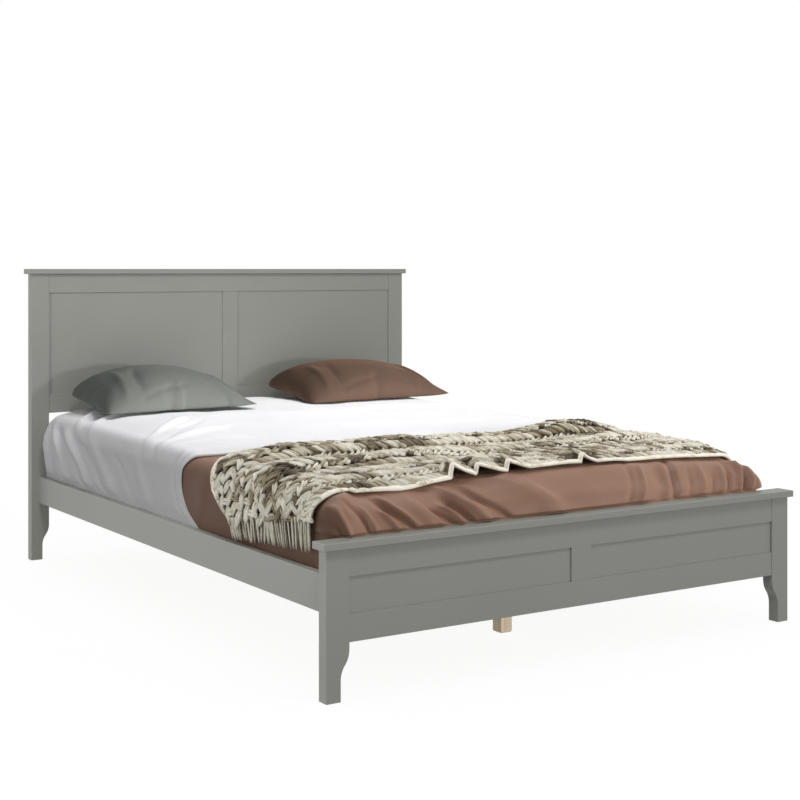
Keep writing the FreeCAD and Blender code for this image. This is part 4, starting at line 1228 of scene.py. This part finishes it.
@dataclass(frozen=True)
class Throw:
    """The chunky knitted throw over the foot of the bed.

    Its columns of stitches run across the bed. It lies in long ridges, hangs at both sides, and
    has a rolled hem along both long edges and a fringe on both short ones.

    Attributes:
        mattress: What it lies on.
        gap: Gap under it.
        hem: Height of the ends, where the fringe starts.
        slant: How much lower the back corner of the left end hangs, and how much higher the front one.
        fringe_end: Height of the fringe's tips at the front and at the back.
        width: Width of the flat throw.
        ridges: (share of its width, height) of each ridge, from the front edge to the back.
        pleats: (place across, height, run) where the front edge stands up from the bed.
        columns: Columns of stitches in its width.
        pitch: Distance from a stitch to the next in its column.
        strands: Strands of fringe in each layer of an end.
        front_edge: Its front edge: where it lies at the left end, (across, along) in between, and
            where it lies at the right end.
        back_edge: The same of its back edge; the hanging end on the left is gathered.
        swells: (across, share) of how high the ridges stand.
        lots: Names of the lots of stitches, with the place where each ends.
        leg: Length, half width and slant in degrees of a leg of a stitch.
        thin: Girth of a strand from its knot down to its tip.
        radius: Radius of an outer strand, and how much thinner an inner one is.
        around: Points round a strand.
        cells: Points of the ground, across and along; the hems have twice as many across.
        thick: Thickness of the ground.
        ground_painted_shade: Tone of the ground, from 0, the darkest, to 1: kept low, as painted shade in the
            gaps between the stitches.
        hems: Name and shade of the hem at the front and of the one at the back.
        roll: Half width and half height of the hems.
    """
    mattress: Mattress
    gap: float = 0.0175
    hem: float = 0.402
    slant: float = 0.036
    fringe_end: tuple[float, float] = (0.346, 0.312)
    width: float = 0.62
    ridges: tuple[tuple[float, float], ...] = ((0.14, 0.013), (0.44, 0.034), (0.80, 0.052))
    pleats: tuple[tuple[float, float, float], ...] = (
        (-0.338, 0.036, 0.080), (-0.250, 0.026, 0.100), (-0.139, 0.026, 0.080), (0.137, 0.022, 0.060))
    columns: int = 10
    pitch: float = 0.0245
    strands: int = 34
    front_edge: tuple[float | tuple[float, float], ...] = (
        -0.905, (-0.86, -0.925), (-0.80, -0.941), (0.78, -0.872), -0.86)
    back_edge: tuple[float | tuple[float, float], ...] = (
        -0.500, (-0.80, -0.385), (-0.74, -0.361), (0.78, -0.222), -0.25)
    swells: Rows = ((-0.76, 0.55), (-0.60, 1.05), (-0.20, 1.0), (-0.05, 0.55), (0.36, 0.5), (0.48, 0.75),
                    (0.66, 0.6), (0.78, 0.2))
    lots: tuple[tuple[str, float], ...] = (("left", -0.735), ("middle_left", 0.0), ("middle_right", 0.735),
                                           ("right", 1.0))
    leg: Place = (0.0255, 0.0055, 40.0)
    thin: tuple[float, ...] = (1.3, 0.95, 1.0, 0.9, 1.0, 0.85, 0.4)
    radius: tuple[float, float] = (0.0031, 0.0007)
    around: int = 6
    cells: tuple[int, int] = (320, 72)
    thick: float = 0.004
    ground_painted_shade: float = 0.05
    hems: tuple[tuple[str, float], ...] = (("front", 0.95), ("back", 0.65))
    roll: tuple[float, float] = (0.0095, 0.0055)

    def half(self) -> float:
        """How far the flat throw reaches from the middle of the bed to its hem."""
        return self.mattress.reach_to(self.hem, self.gap)

    def edges(self, across: Array) -> tuple[Array, Array]:
        """Where the front and the back edge lie."""
        half = self.half()
        front, back = (np.interp(across, *zip((-half, left), *stops, (half, right)))
                       for left, *stops, right in (self.front_edge, self.back_edge))
        wave = 0.006 * drift(across * 6, across * 0 + 1, 41)
        return front + wave, back - 1.6 * wave

    def relief(self, across: Array, share: Array) -> Array:
        """Height of the ridges, pleats and hanging folds.

        Args:
            across: Places across the bed.
            share: Places from the front edge, 0, to the back edge, 1.

        Returns:
            The height over the lowest part.
        """
        shift = 0.05 * drift(across * 2.2, share * 2, 42) + 0.02 * drift(across * 5, share * 5, 43)
        total = np.zeros(np.broadcast(across, share).shape)
        for number, (middle, height) in enumerate(self.ridges):
            gap = (share + shift - middle) / 0.15
            body = np.exp(-np.abs(np.where(gap > 0, gap * 0.8, gap * 1.6)) ** 2.4)
            swell = np.interp(across, *zip(*self.swells))
            swell = swell + 0.22 * drift(across * 4.1 + number * 7, share * 0 + number, 44)
            total = np.maximum(total, height * swell * body)
        total = total + 0.003 * drift(across * 12, share * 9, 45)
        side = smooth(np.abs(across), 0.74, 0.80)
        hanging = self.hanging(share + 0.03 * drift(across * 9, share * 4, 46), across)
        return total * (1 - side) + hanging * side + self.raised(across, share)

    def raised(self, across: Array, share: Array) -> Array:
        """Height of the pleats that stand up at the front edge, steep on their left."""
        total = np.zeros(np.broadcast(across, share).shape)
        for place, height, run in self.pleats:
            bent = across - 0.10 * share
            climb = smooth(bent, place - 0.007, place + 0.001)
            fall = np.clip(1 - (bent - place) / run, 0.0, 1.0)
            total = total + height * climb * fall ** 1.2
        return total * smooth(share, 0.20, 0.0)

    def hanging(self, share: Array, across: Array) -> Array:
        """Height of the folds of a hanging end, which deepen downwards."""
        deepen = smooth(np.abs(across), 0.76, 0.90)
        swell = 0.018 * (0.5 + 0.5 * np.cos(2 * math.pi * (share * 2.05 + 0.28)))
        crease = -0.012 * ridge(share, 0.60, 0.03)
        return 0.006 + (swell + crease) * deepen + 0.0015 * np.sin(share * 31)

    def lay(self, across: Array, share: Array, lift: Array | float = 0.0) -> tuple[Array, Array]:
        """Places on the throw's upper face, and its normals there.

        Args:
            across: Places across the bed.
            share: Places from the front edge, 0, to the back edge, 1.
            lift: Height over that face.

        Returns:
            The places, and the normals of the folded face.
        """
        def face(a: Array, s: Array) -> tuple[Array, Array]:
            """The folded face at these places, and the normals of the form under it."""
            front, back = self.edges(a)
            a = a - self.slant * (2 * s - 1) * smooth(-a, 0.62, self.half())
            base, normal = self.mattress.drape(a, front + (back - front) * s, self.gap)
            return base + normal * self.relief(a, s)[..., None], normal

        across, share = np.broadcast_arrays(across, share)
        centre, smoothed = face(across, share)
        by_across = face(across + 0.004, share)[0] - face(across - 0.004, share)[0]
        by_along = face(across, share + 0.006)[0] - face(across, share - 0.006)[0]
        normal = unit(unit(np.cross(by_across, by_along)) + 0.15 * smoothed)
        return centre + normal * np.asarray(lift)[..., None], normal

    def build(self) -> list[Piece]:
        """The ground, its stitches in four lots, its hems and its fringe."""
        ground = self.ground()
        half = self.half()
        ends = [-half, *(min(end, half) for name, end in self.lots)]
        stitches = [self.stitches(lot[0], low, high) for lot, low, high in zip(self.lots, ends, ends[1:])]
        trims = [self.hem_roll(0), self.hem_roll(1), self.fringe()]
        return [ground, *stitches, *trims]

    def ground(self) -> Piece:
        """The thin face that the stitches stand on, coloured as painted shade where it shows between them."""
        half = self.half()
        across = np.linspace(-half, half, self.cells[0])[:, None]
        share = np.linspace(0.0, 1.0, self.cells[1])[None, :]
        places = self.lay(across, share, -0.002)[0]
        wide = np.stack(np.broadcast_arrays(across, share * self.width), -1)
        piece = sheet_piece("throw_ground", places, wide, self.thick)
        # Painted shade: the ground takes a tone near the bottom of the wool's ramp, so that the gaps between
        # the stitches look shadowed.
        tone_of(piece, np.full(len(piece.data.vertices), self.ground_painted_shade))
        WOOL.dress(piece)
        return settle(piece, Body.THROW, "knit_wool", "knit_throw")

    def stitches(self, name: str, low: float, high: float) -> Piece:
        """The stitches between two places across the bed.

        Args:
            name: What this lot is called.
            low: Where it starts.
            high: Where it ends.

        Returns:
            The stitches as one piece.
        """
        chance = np.random.default_rng(50)
        half = self.half()
        rows = int(2 * half / self.pitch)
        row, column, leg = (numbers.ravel() for numbers in np.meshgrid(
            np.arange(rows), np.arange(self.columns), (-1, 1), indexing="ij"))
        size = row.size
        offset = 0.5 * (column % 2)
        across = -half + (row + 0.5 + 0.25 * leg + offset) * self.pitch + chance.uniform(-0.003, 0.003, size)
        share = (column + 0.5 + 0.245 * leg) / self.columns + chance.uniform(-0.005, 0.005, size)
        length = self.leg[0] * chance.uniform(0.85, 1.2, size)
        width = self.leg[1] * chance.uniform(0.85, 1.15, size)
        slant = np.radians(self.leg[2] + chance.uniform(-9, 9, size)) * leg
        lift = chance.uniform(-0.001, 0.002, size)
        patch = 0.80 + 0.55 * drift(across * 8, share * 5, 51) + 0.25 * drift(across * 22, share * 12, 52)
        tone = np.clip(patch + chance.normal(0.0, 0.24, size), 0.0, 1.0)
        kept = (across >= low) & (across < min(high, half - 0.004))
        across, share, tone, *sizes = (values[kept].repeat(2) for values in (
            across, share, tone, length, width, slant, lift))
        leaves = Leaves(*sizes, np.tile((-1.0, 1.0), kept.sum()))
        tones = np.clip(tone + chance.normal(0.0, 0.15, 2 * kept.sum()), 0.0, 1.0)
        return leaves.build(f"throw_stitches_{name}", self, across, share, tones)

    def hem_roll(self, edge: int) -> Piece:
        """The rolled hem along a long edge.

        Args:
            edge: 0 for the front and 1 for the back.

        Returns:
            The hem.
        """
        half = self.half() + 0.004
        across = np.linspace(-half, half, 2 * self.cells[0])
        share = np.full(across.shape, 0.004 + 0.992 * edge)
        centre, normal = self.lay(across, share, 0.0)
        out = np.cross(unit(np.gradient(centre, axis=0)), normal) * (1 if edge == 0 else -1)
        uneven = 0.0012 * drift(across * 55, across * 0, 61)
        centre = centre + normal * (0.0015 + uneven)[:, None] + out * 0.003
        turns = circle(8)
        wide, high = self.roll[0] + 1.4 * uneven, self.roll[1] + 0.8 * uneven
        rings = np.stack([centre + out * (wide * math.cos(turn))[:, None]
                          + normal * (high * math.sin(turn))[:, None] for turn in turns], axis=1)
        chart = np.stack(np.broadcast_arrays(across[:, None] * 12, turns[None, :] * 0.5), -1)
        name, tone = self.hems[edge]
        piece = recalculated(mesh_piece(f"throw_hem_{name}", rings, ring_faces(1, *rings.shape[:2]), chart))
        tone_of(piece, (tone + 0.3 * drift(across * 40, across * 0, 62)).repeat(8))
        WOOL.dress(piece)
        return settle(piece, Body.THROW, "knit_wool")

    def fringe(self) -> Piece:
        """The strands that hang from both ends, an outer layer and an inner one whose lower tone is painted
        shade behind the outer strands.
        """
        chance = np.random.default_rng(70)
        strands, tones = [], []
        for side in (-1, 1):
            for number in range(self.strands * 2):
                layer = number // self.strands
                share = (number % self.strands + 0.5 + 0.5 * layer) / (self.strands + 0.5)
                strands.append(self.strand(side, share + chance.uniform(-0.006, 0.006), layer, chance))
                # Painted shade: the inner layer's tone is lowered so that it reads as shadow between the
                # outer strands.
                tones.append(chance.uniform(0.7, 1.1) - 0.55 * layer)
        rings = np.stack(strands)
        count, levels, around = rings.shape[:3]
        faces = ring_faces(count, levels, around)
        chart = np.stack(np.meshgrid(np.arange(around) / around * 2, np.linspace(0, 3, levels)), -1)
        flat = chart[None] + np.arange(count)[:, None, None, None] * 3.7
        piece = mesh_piece("throw_fringe_strands", rings, faces, flat)
        recalculated(piece)
        tone_of(piece, np.repeat(np.array(tones), levels * around))
        WOOL.dress(piece)
        return settle(piece, Body.THROW, "knit_wool", "throw_fringe")

    def strand(self, side: int, share: float, layer: int, chance: np.random.Generator) -> Array:
        """One strand: rings of points from the hem down to its tip.

        Args:
            side: -1 for the left end and 1 for the right.
            share: Its place along the hem.
            layer: 0 for the outer and 1 for the inner layer.
            chance: Random numbers.

        Returns:
            The rings, one row of points for each level.
        """
        start, normal = self.lay(np.array([side * self.half() * 0.99]), np.array([share]), 0.0)
        start = start[0] + normal[0] * (0.001 - 0.004 * layer)
        drop = start[2] - np.interp(share, (0, 1), self.fringe_end) - 0.006 * chance.random()
        levels = np.linspace(0, 1, len(self.thin))
        line = start - levels[:, None] * np.array([0.0, 0.0, drop])
        line[:, 1] += levels ** 1.4 * chance.normal(0, 0.006)
        inner = self.mattress.high.x + 0.0135 - 0.002 * layer
        swing = np.abs(line[:, 0]) * (1 - 0.5 * levels) + inner * 0.5 * levels
        line[:, 0] = side * np.maximum(swing, inner)
        radius = (self.radius[0] - self.radius[1] * layer) * chance.uniform(0.8, 1.2) * np.array(self.thin)
        turns = circle(self.around) + chance.uniform(0, 1)
        ring = np.stack([np.cos(turns), np.sin(turns) * 1.1, np.zeros(self.around)], -1)
        return line[:, None, :] + radius[:, None, None] * ring[None]


@dataclass(frozen=True)
class Leaves:
    """Many legs of stitches, each of two tapered plies of wool that turn round each other.

    Attributes:
        length: Half the length of each.
        width: Half its width.
        slant: Its turn away from the column of stitches.
        lift: Its height over the others.
        ply: Which ply of the leg it is, -1 or 1.
        stand: Height of them all over the throw's face.
        levels: (place along it, girth) of each ring of points.
        around: Points in a ring.
        twist: Turn of the plies round each other from their middle to their ends.
        apart: How far a ply lies from the middle of its leg.
        bow: How far its ends are bent aside.
        high: Half its height.
        tilt: How steeply it dips into the next one, in degrees.
    """
    length: Array
    width: Array
    slant: Array
    lift: Array
    ply: Array
    stand: float = 0.003
    levels: tuple[tuple[float, float], ...] = ((-1.0, 0.16), (-0.66, 0.72), (-0.2, 1.0), (0.3, 0.95),
                                               (0.72, 0.62), (1.0, 0.14))
    around: int = 6
    twist: float = 0.6
    apart: float = 0.0052
    bow: float = 0.0035
    high: float = 0.0064
    tilt: float = 9.0

    def build(self, name: str, throw: Throw, across: Array, share: Array, tone: Array) -> Piece:
        """Set the leaves on the throw.

        Args:
            name: The piece's name.
            throw: The throw that they stand on.
            across: Their places across the bed.
            share: Their places from the front edge to the back.
            tone: Their shades.

        Returns:
            The piece.
        """
        centre, normal = throw.lay(across, share, self.stand + self.lift)
        ahead = throw.lay(across + 0.004, share, 0.0)[0] - throw.lay(across - 0.004, share, 0.0)[0]
        ahead = unit(ahead - normal * (ahead * normal).sum(1, keepdims=True))
        sideways = np.cross(normal, ahead)
        cos, sin = np.cos(self.slant)[:, None], np.sin(self.slant)[:, None]
        axis, cross = ahead * cos + sideways * sin, sideways * cos - ahead * sin
        tilt = math.radians(self.tilt)
        axis, normal = (axis * math.cos(tilt) - normal * math.sin(tilt),
                        normal * math.cos(tilt) + axis * math.sin(tilt))
        bow = np.sign(self.slant) * self.bow
        turns = circle(self.around)
        rings = []
        for place, girth in self.levels:
            middle = centre + axis * (self.length * place)[:, None] + cross * (bow * place * place)[:, None]
            turned = self.twist * place
            aside = cross * math.cos(turned) + normal * (0.7 * math.sin(turned))
            middle = middle + aside * (self.ply * self.apart * min(1.0, girth + 0.3))[:, None]
            wide, high = self.width * girth, self.high * girth
            rings.append(np.stack([middle + cross * (wide * math.cos(turn))[:, None]
                                   + normal * (high * math.sin(turn)) for turn in turns], axis=1))
        points = np.stack(rings, axis=1)
        count, levels, around = points.shape[:3]
        spin, stretch = np.meshgrid(turns / math.pi, [place for place, girth in self.levels])
        chart = np.stack([spin, stretch * 0.5], -1)[None] + (np.arange(count) * 3.7)[:, None, None, None]
        piece = mesh_piece(name, points, ring_faces(count, levels, around), chart)
        tone_of(piece, tone.repeat(levels * around))
        WOOL.dress(recalculated(piece))
        return settle(piece, Body.THROW, "knit_wool")


@dataclass(frozen=True)
class Pillow:
    """A pillow: two flat rectangles sewn together and filled, which lies back on its belly.

    Attributes:
        name: Its name.
        body: The body that it rides on, which is also its node.
        finish: Its case.
        slot: The record's slot of its case.
        seed: Which of the uneven fillings it has.
        reach: How far its right end reaches, as a share of the left one.
        crest: Where it starts to fall towards its right end, from -1 to 1.
        taper: How thin its right end is; a higher power is thinner.
        crown: Height of its middle over the seam.
        flat: Width and depth of the case when it lies flat.
        drawn_in: Share of that width and depth that the filled case keeps along its middle lines.
        flared: What that share gains towards the corners.
        belly: Depth of its middle under the seam.
        straight: How far the middle of a seam is let out, on the left and on the right.
        blunt: How far a corner is drawn in, on the left and on the right.
        span: Share of its solid's width that it takes, and its depth.
        height: Height of its middle over the floor.
        tilt: How far it leans back.
        droop: How far its corners hang.
        soft: Height over the duvet below which its underside is pressed flat.
        cells: Cells of its cloth, across and along.
        filling: Settings of the cloth simulation that fills it.
        frames: Frames that the simulation runs for.
        creases: Folds of its upper side, drawn on the flat case.
    """
    name: str
    body: Body
    finish: Cloth
    slot: str
    seed: int
    reach: float
    crest: float
    taper: float
    crown: float
    flat: tuple[float, float] = (0.715, 0.465)
    drawn_in: tuple[float, float] = (0.93, 0.86)
    flared: tuple[float, float] = (0.02, 0.07)
    belly: float = 0.052
    straight: tuple[float, float] = (0.014, 0.004)
    blunt: tuple[float, float] = (0.022, -0.004)
    span: tuple[float, float] = (0.945, 0.405)
    height: float = 0.601
    tilt: float = math.radians(10)
    droop: float = 0.03
    soft: float = 0.02
    cells: tuple[int, int] = (72, 47)
    filling: tuple[tuple[str, float], ...] = (
        ("quality", 7), ("mass", 0.25), ("tension_stiffness", 22.0), ("compression_stiffness", 22.0),
        ("shear_stiffness", 9.0), ("bending_stiffness", 0.35), ("air_damping", 4.0), ("use_pressure", True),
        ("uniform_pressure_force", 5.0))
    frames: int = 24
    creases: Rows = (
        (0.34, -0.20, 0.20, 0.00, 0.015, -0.022, -0.02), (0.34, -0.15, 0.22, 0.06, 0.015, 0.012, -0.02),
        (0.32, -0.22, 0.15, -0.10, 0.015, 0.010, -0.01), (-0.18, -0.22, -0.14, 0.04, 0.020, -0.006, 0.02),
        (-0.22, -0.215, 0.05, -0.16, 0.012, -0.006, 0.01),
        (-0.262, -0.225, -0.235, 0.06, 0.020, 0.007, -0.01))

    def blank(self) -> tuple[Array, Array]:
        """The two layers of the case, lying flat, sewn together round their edge.

        Returns:
            Its points, and the flat place of each.
        """
        sides = [np.linspace(-0.5, 0.5, cells + 1) * size for cells, size in zip(self.cells, self.flat)]
        grid = np.stack(np.meshgrid(*sides, indexing="ij"), -1)
        room = np.minimum(self.flat[0] / 2 - np.abs(grid[..., 0]), self.flat[1] / 2 - np.abs(grid[..., 1]))
        uneven = 0.0016 * drift(grid[..., 0] * 14 + 9, grid[..., 1] * 14, self.seed)
        height = (0.004 + uneven) * smooth(room, 0.0, 0.03)
        layers = [np.concatenate([grid, level[..., None]], -1).reshape(-1, 3) for level in (height, -height)]
        chart = grid.reshape(-1, 2)
        return np.concatenate(layers), np.concatenate([chart, chart + 2.0])

    def shares(self, flat: Array) -> tuple[Array, Array]:
        """Places on the flat case as shares of its half width and half depth."""
        return 2 * flat[:, 0] / self.flat[0], 2 * flat[:, 1] / self.flat[1]

    def seams(self, flat: Array) -> Array:
        """Where places on the flat case lie, from above, once its seams are drawn in."""
        across, along = self.shares(flat)
        return np.stack([flat[:, 0] * (self.drawn_in[0] + self.flared[0] * along ** 2),
                         flat[:, 1] * (self.drawn_in[1] + self.flared[1] * across ** 2)], -1)

    def sewn(self) -> Piece:
        """The flat case as a mesh whose layers share the points of the seam."""
        points, chart = self.blank()
        rows, columns = self.cells[0] + 1, self.cells[1] + 1
        upper = grid_faces(rows, columns)
        lower = upper[:, ::-1] + rows * columns
        piece = mesh_piece(f"{self.name}_filled", points, np.concatenate([upper, lower]), chart)
        with editing(piece):
            bpy.ops.mesh.remove_doubles(threshold=1e-5)
        return piece

    def filled(self, piece: Piece) -> None:
        """Blow the case up with cloth simulation, and keep the shape that it takes."""
        only(piece)
        cloth = piece.modifiers.new("Filling", "CLOTH")
        for key, value in self.filling:
            setattr(cloth.settings, key, value)
        cloth.settings.effector_weights.gravity = 0.0
        cloth.collision_settings.use_collision = False
        cloth.point_cache.frame_end = self.frames + 2
        for number in range(self.frames):
            bpy.context.scene.frame_set(number + 1)
        bpy.ops.object.modifier_apply(modifier=cloth.name)
        bpy.context.scene.frame_set(1)

    def plumped(self, points: Array, flat: Array) -> Array:
        """Even out the filling, straighten the seams and blunt the corners.

        Args:
            points: The filled case.
            flat: The same points before it was filled.

        Returns:
            The points.
        """
        across, along = self.shares(flat)
        left = np.sqrt(1 - np.clip(-across, 0.0, 1.0) ** 2.4)
        past = np.clip((across - self.crest) / (1 - self.crest), 0.0, 1.0)
        full = left * (1 - past * past) ** self.taper * np.sqrt(np.clip(1 - np.abs(along) ** 2.6, 0, 1))
        upper, height = flat[:, 2] > 0, points[:, 2]
        share = np.where(upper, height / height.max(), -height / height.min())
        folds = folded(flat[:, 0], flat[:, 1], folds_of(self.creases)) * upper * np.minimum(1.0, 1.8 * full)
        limit = np.where(upper, self.crown, self.belly)
        points[:, 2] = limit * (0.14 * share + 0.88 * full * np.sign(flat[:, 2])) + folds
        points[:, :2] = 0.3 * points[:, :2] + 0.7 * self.seams(flat)
        blunt = np.where(across < 0, *self.blunt) * (across * along) ** 6
        for axis, one, other in ((0, across, along), (1, along, across)):
            straight = np.where(across < 0, *self.straight) * (1 - other * other) * np.abs(one) ** 3
            points[:, axis] += np.sign(one) * (straight - blunt)
        return points

    def laid(self, points: Array, duvet: Duvet) -> Array:
        """Let the corners hang, bring the pillow to its size, lean it back and lay it down.

        Args:
            points: The plumped case, round its own middle.
            duvet: What it lies on.

        Returns:
            The points in their places on the bed.
        """
        low, high = (Vector(corner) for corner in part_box(self.body.value))
        wide, deep = np.ptp(points[:, 0]), np.ptp(points[:, 1])
        across, along = 2 * points[:, 0] / wide, 2 * points[:, 1] / deep
        hang = np.where(across < 0, self.droop, -0.4 * self.droop)
        points[:, 2] -= hang * np.abs(across) ** 3 * (along * along) ** (1.0 + (along < 0))
        points[:, 0] *= (high.x - low.x) * self.span[0] / wide * np.where(across > 0, self.reach, 1.0)
        points[:, 1] *= self.span[1] / deep
        cos, sin = math.cos(self.tilt), math.sin(self.tilt)
        back, up = points[:, 1] * cos - points[:, 2] * sin, points[:, 1] * sin + points[:, 2] * cos
        middle = (low + high) / 2
        points = np.stack([points[:, 0] + middle.x, back + middle.y, up + self.height], -1)
        edge = smooth(np.abs(points[:, 0]), 0.62, 0.80) * smooth(points[:, 1], 0.60, 0.85)
        floor = duvet.mattress.high.z + duvet.stand + duvet.loft * (1 - edge) + 0.003
        near = points[:, 2] - floor
        pressed = self.soft * np.exp(np.minimum(near / self.soft - 1, 0))
        points[:, 2] = floor + np.where(near > self.soft, near, pressed)
        return points

    def build(self, duvet: Duvet) -> Piece:
        """The pillow in its place.

        Args:
            duvet: What it lies on.

        Returns:
            The pillow.
        """
        piece = self.sewn()
        flat = read_points(piece)
        (self.filled)(piece)
        points = read_points(piece)
        LOG.info("%s filled to %s", self.name, np.ptp(points, axis=0).round(3))
        write_points(piece, self.laid(self.plumped(points, flat), duvet))
        finished(piece, "SUBSURF", levels=1, render_levels=1)
        self.finish.dress(piece)
        settle(piece, self.body, self.slot, self.body.value)
        return piece


# The studio
class Lit(Enum):
    """What a lamp shines on."""
    ALL = "everything"
    FRAME = "the frame"
    DUVET = "the duvet"
    SIDES = "the frame and the throw"
    BASE = "the slats, their beam and its legs"
    CLOTHS = "the mattress and the cloths"
    PILLOWS = "the pillows"
    BEDDING = "the cloths and pillows"


@dataclass(frozen=True)
class Lamp:
    """A square soft lamp.

    Attributes:
        name: Its name.
        place: Where it stands.
        aim: The place that it points at.
        size: Length of its side.
        power: Its power in watts.
        lit: What it shines on.
    """
    name: str
    place: Place
    aim: Place
    size: float
    power: float
    lit: Lit = Lit.ALL

    def build(self, pieces: dict[Lit, list[Piece]]) -> None:
        """Set up the lamp.

        Args:
            pieces: The pieces of each group that a lamp can be kept to.
        """
        light = bpy.data.lights.new(self.name, "AREA")
        light.shape, light.size, light.energy = "SQUARE", self.size, self.power
        lamp = in_scene(self.name, light)
        lamp.location = self.place
        lamp.rotation_euler = (Vector(self.aim) - Vector(self.place)).to_track_quat("-Z", "Y").to_euler()
        if self.lit in pieces:
            reached = bpy.data.collections.new(f"{self.name}, what it lights")
            for piece in pieces[self.lit]:
                reached.objects.link(piece)
            lamp.light_linking.receiver_collection = reached


@dataclass(frozen=True)
class Studio:
    """Pale floor, soft lamps and the camera.

    Attributes:
        eye: Place of the camera.
        heading: Turn of the camera from +Y, clockwise from above, in degrees.
        lens: Focal length.
        sensor: Width of the sensor.
        shift: Shift of the lens, across and up.
        ambient: Strength of the light from all sides.
        shadow: Share of the floor's own shading that the camera sees.
        glow: Strength of the white that the camera sees with it.
        grey: How light the floor's own colour is.
        lamps: The lamps.
    """
    eye: Place = (-2.6893, -4.1207, 1.0739)
    heading: float = 31.54
    lens: float = 65.5
    sensor: float = 36.0
    shift: tuple[float, float] = (0.0863, -0.1638)
    ambient: float = 0.32
    shadow: float = 0.3
    glow: float = 1.31
    grey: float = 0.86
    lamps: tuple[Lamp, ...] = (
        Lamp("Key from the right of the foot", (3.4, -9.0, 1.0), (0.0, 0.9, 0.65), 0.7, 120.0),
        Lamp("Top light on the frame", (-1.5, -3.2, 5.0), (0.0, 0.0, 0.5), 1.2, 100.0, Lit.FRAME),
        Lamp("Soft box over the bed", (0.3, 0.3, 3.0), (0.0, 0.3, 0.4), 2.2, 57.0, Lit.CLOTHS),
        Lamp("Low light on the support leg", (-1.2, -3.6, 0.2), (0.0, -0.8, 0.08), 0.3, 28.0, Lit.BASE),
        Lamp("Front light on the pillows", (1.9, -3.0, 1.8), (0.0, 0.75, 0.6), 0.4, 140.0, Lit.PILLOWS),
        Lamp("Low light on the bedding", (4.4, -4.9, 1.2), (0.0, -0.5, 0.5), 0.5, 200.0, Lit.BEDDING),
        Lamp("Low light on the duvet", (-3.0, -4.0, 0.9), (-0.8, 0.3, 0.4), 0.4, 26.0, Lit.DUVET),
        Lamp("Fill from the left", (-4.4, -0.6, 1.5), (-0.8, 0.0, 0.4), 1.2, 64.0, Lit.SIDES))

    def build(self, pieces: dict[Lit, list[Piece]]) -> None:
        """Set up the camera, the world, the floor and the lamps.

        Args:
            pieces: The pieces of each group that a lamp can be kept to.
        """
        camera = in_scene("Camera", bpy.data.cameras.new("Camera"))
        camera.location = self.eye
        camera.rotation_euler = (math.pi / 2, 0.0, -math.radians(self.heading))
        camera.data.lens, camera.data.sensor_width = self.lens, self.sensor
        camera.data.shift_x, camera.data.shift_y = self.shift
        bpy.context.scene.camera = camera
        bpy.context.scene.view_settings.view_transform = "Standard"
        self.world()
        self.floor()
        for lamp in self.lamps:
            lamp.build(pieces)

    def seen(self, work: Shading) -> Socket:
        """1 for rays that show the backdrop: from the camera, a gloss or a glass."""
        ray = work.add("LightPath").outputs
        shown = work.math("MAXIMUM", ray["Is Camera Ray"], ray["Is Glossy Ray"])
        return work.math("MAXIMUM", shown, ray["Is Transmission Ray"])

    def world(self) -> None:
        """White where it is seen, and softer as a source of light."""
        world = bpy.data.worlds.new("Studio")
        bpy.context.scene.world = world
        work = emptied(world)
        strength = work.math("MULTIPLY_ADD", self.seen(work), 1.0 - self.ambient, self.ambient)
        light = work.add("Background", Color=(1.0, 1.0, 1.0, 1.0), Strength=strength)
        work.add("OutputWorld", Surface=light.outputs["Background"])

    def floor(self) -> None:
        """A wide white floor that keeps a faint shadow."""
        bpy.ops.mesh.primitive_plane_add(size=60.0, location=(0.0, 0.0, 0.0))
        floor = named(bpy.context.object, "studio_floor")
        material = bpy.data.materials.new("Studio floor")
        work = emptied(material)
        matt = work.add("BsdfDiffuse", Color=(self.grey, self.grey, self.grey, 1.0))
        glow = work.add("Emission", Color=(1.0, 1.0, 1.0, 1.0), Strength=self.glow)
        share = work.math("MULTIPLY", self.seen(work), 1.0 - self.shadow)
        both = work.add("MixShader", i0=share, i1=matt.outputs["BSDF"], i2=glow.outputs["Emission"])
        work.add("OutputMaterial", Surface=both.outputs["Shader"])
        floor.data.materials.append(material)


def main() -> None:
    """Build the bed, its bedding and the studio, and report each piece."""
    logging.basicConfig(level=logging.INFO, format="%(message)s")
    boards = PaintedFrame().build()
    base = SlattedBase().build()
    mattress = Mattress()
    duvet = Duvet(mattress)
    cloths = [mattress.build(), Bedspread(mattress, duvet).build(), duvet.build()]
    throw = Throw(mattress).build()
    forms = ((Body.GREY_PILLOW, GREY_CASE, 81, 0.905, -0.28, 0.72, 0.112),
             (Body.BROWN_PILLOW, BROWN_CASE, 82, 1.04, -0.10, 0.55, 0.104))
    pillows = [Pillow(body.value, body, case, f"{body.value}case", *form).build(duvet)
               for body, case, *form in forms]
    cloths_and_throw = cloths + throw
    Studio().build({Lit.FRAME: boards + base, Lit.SIDES: boards + base + throw, Lit.BASE: base,
                    Lit.DUVET: cloths[2:], Lit.CLOTHS: cloths_and_throw, Lit.PILLOWS: pillows,
                    Lit.BEDDING: cloths_and_throw + pillows})


if __name__ == "__main__":
    main()
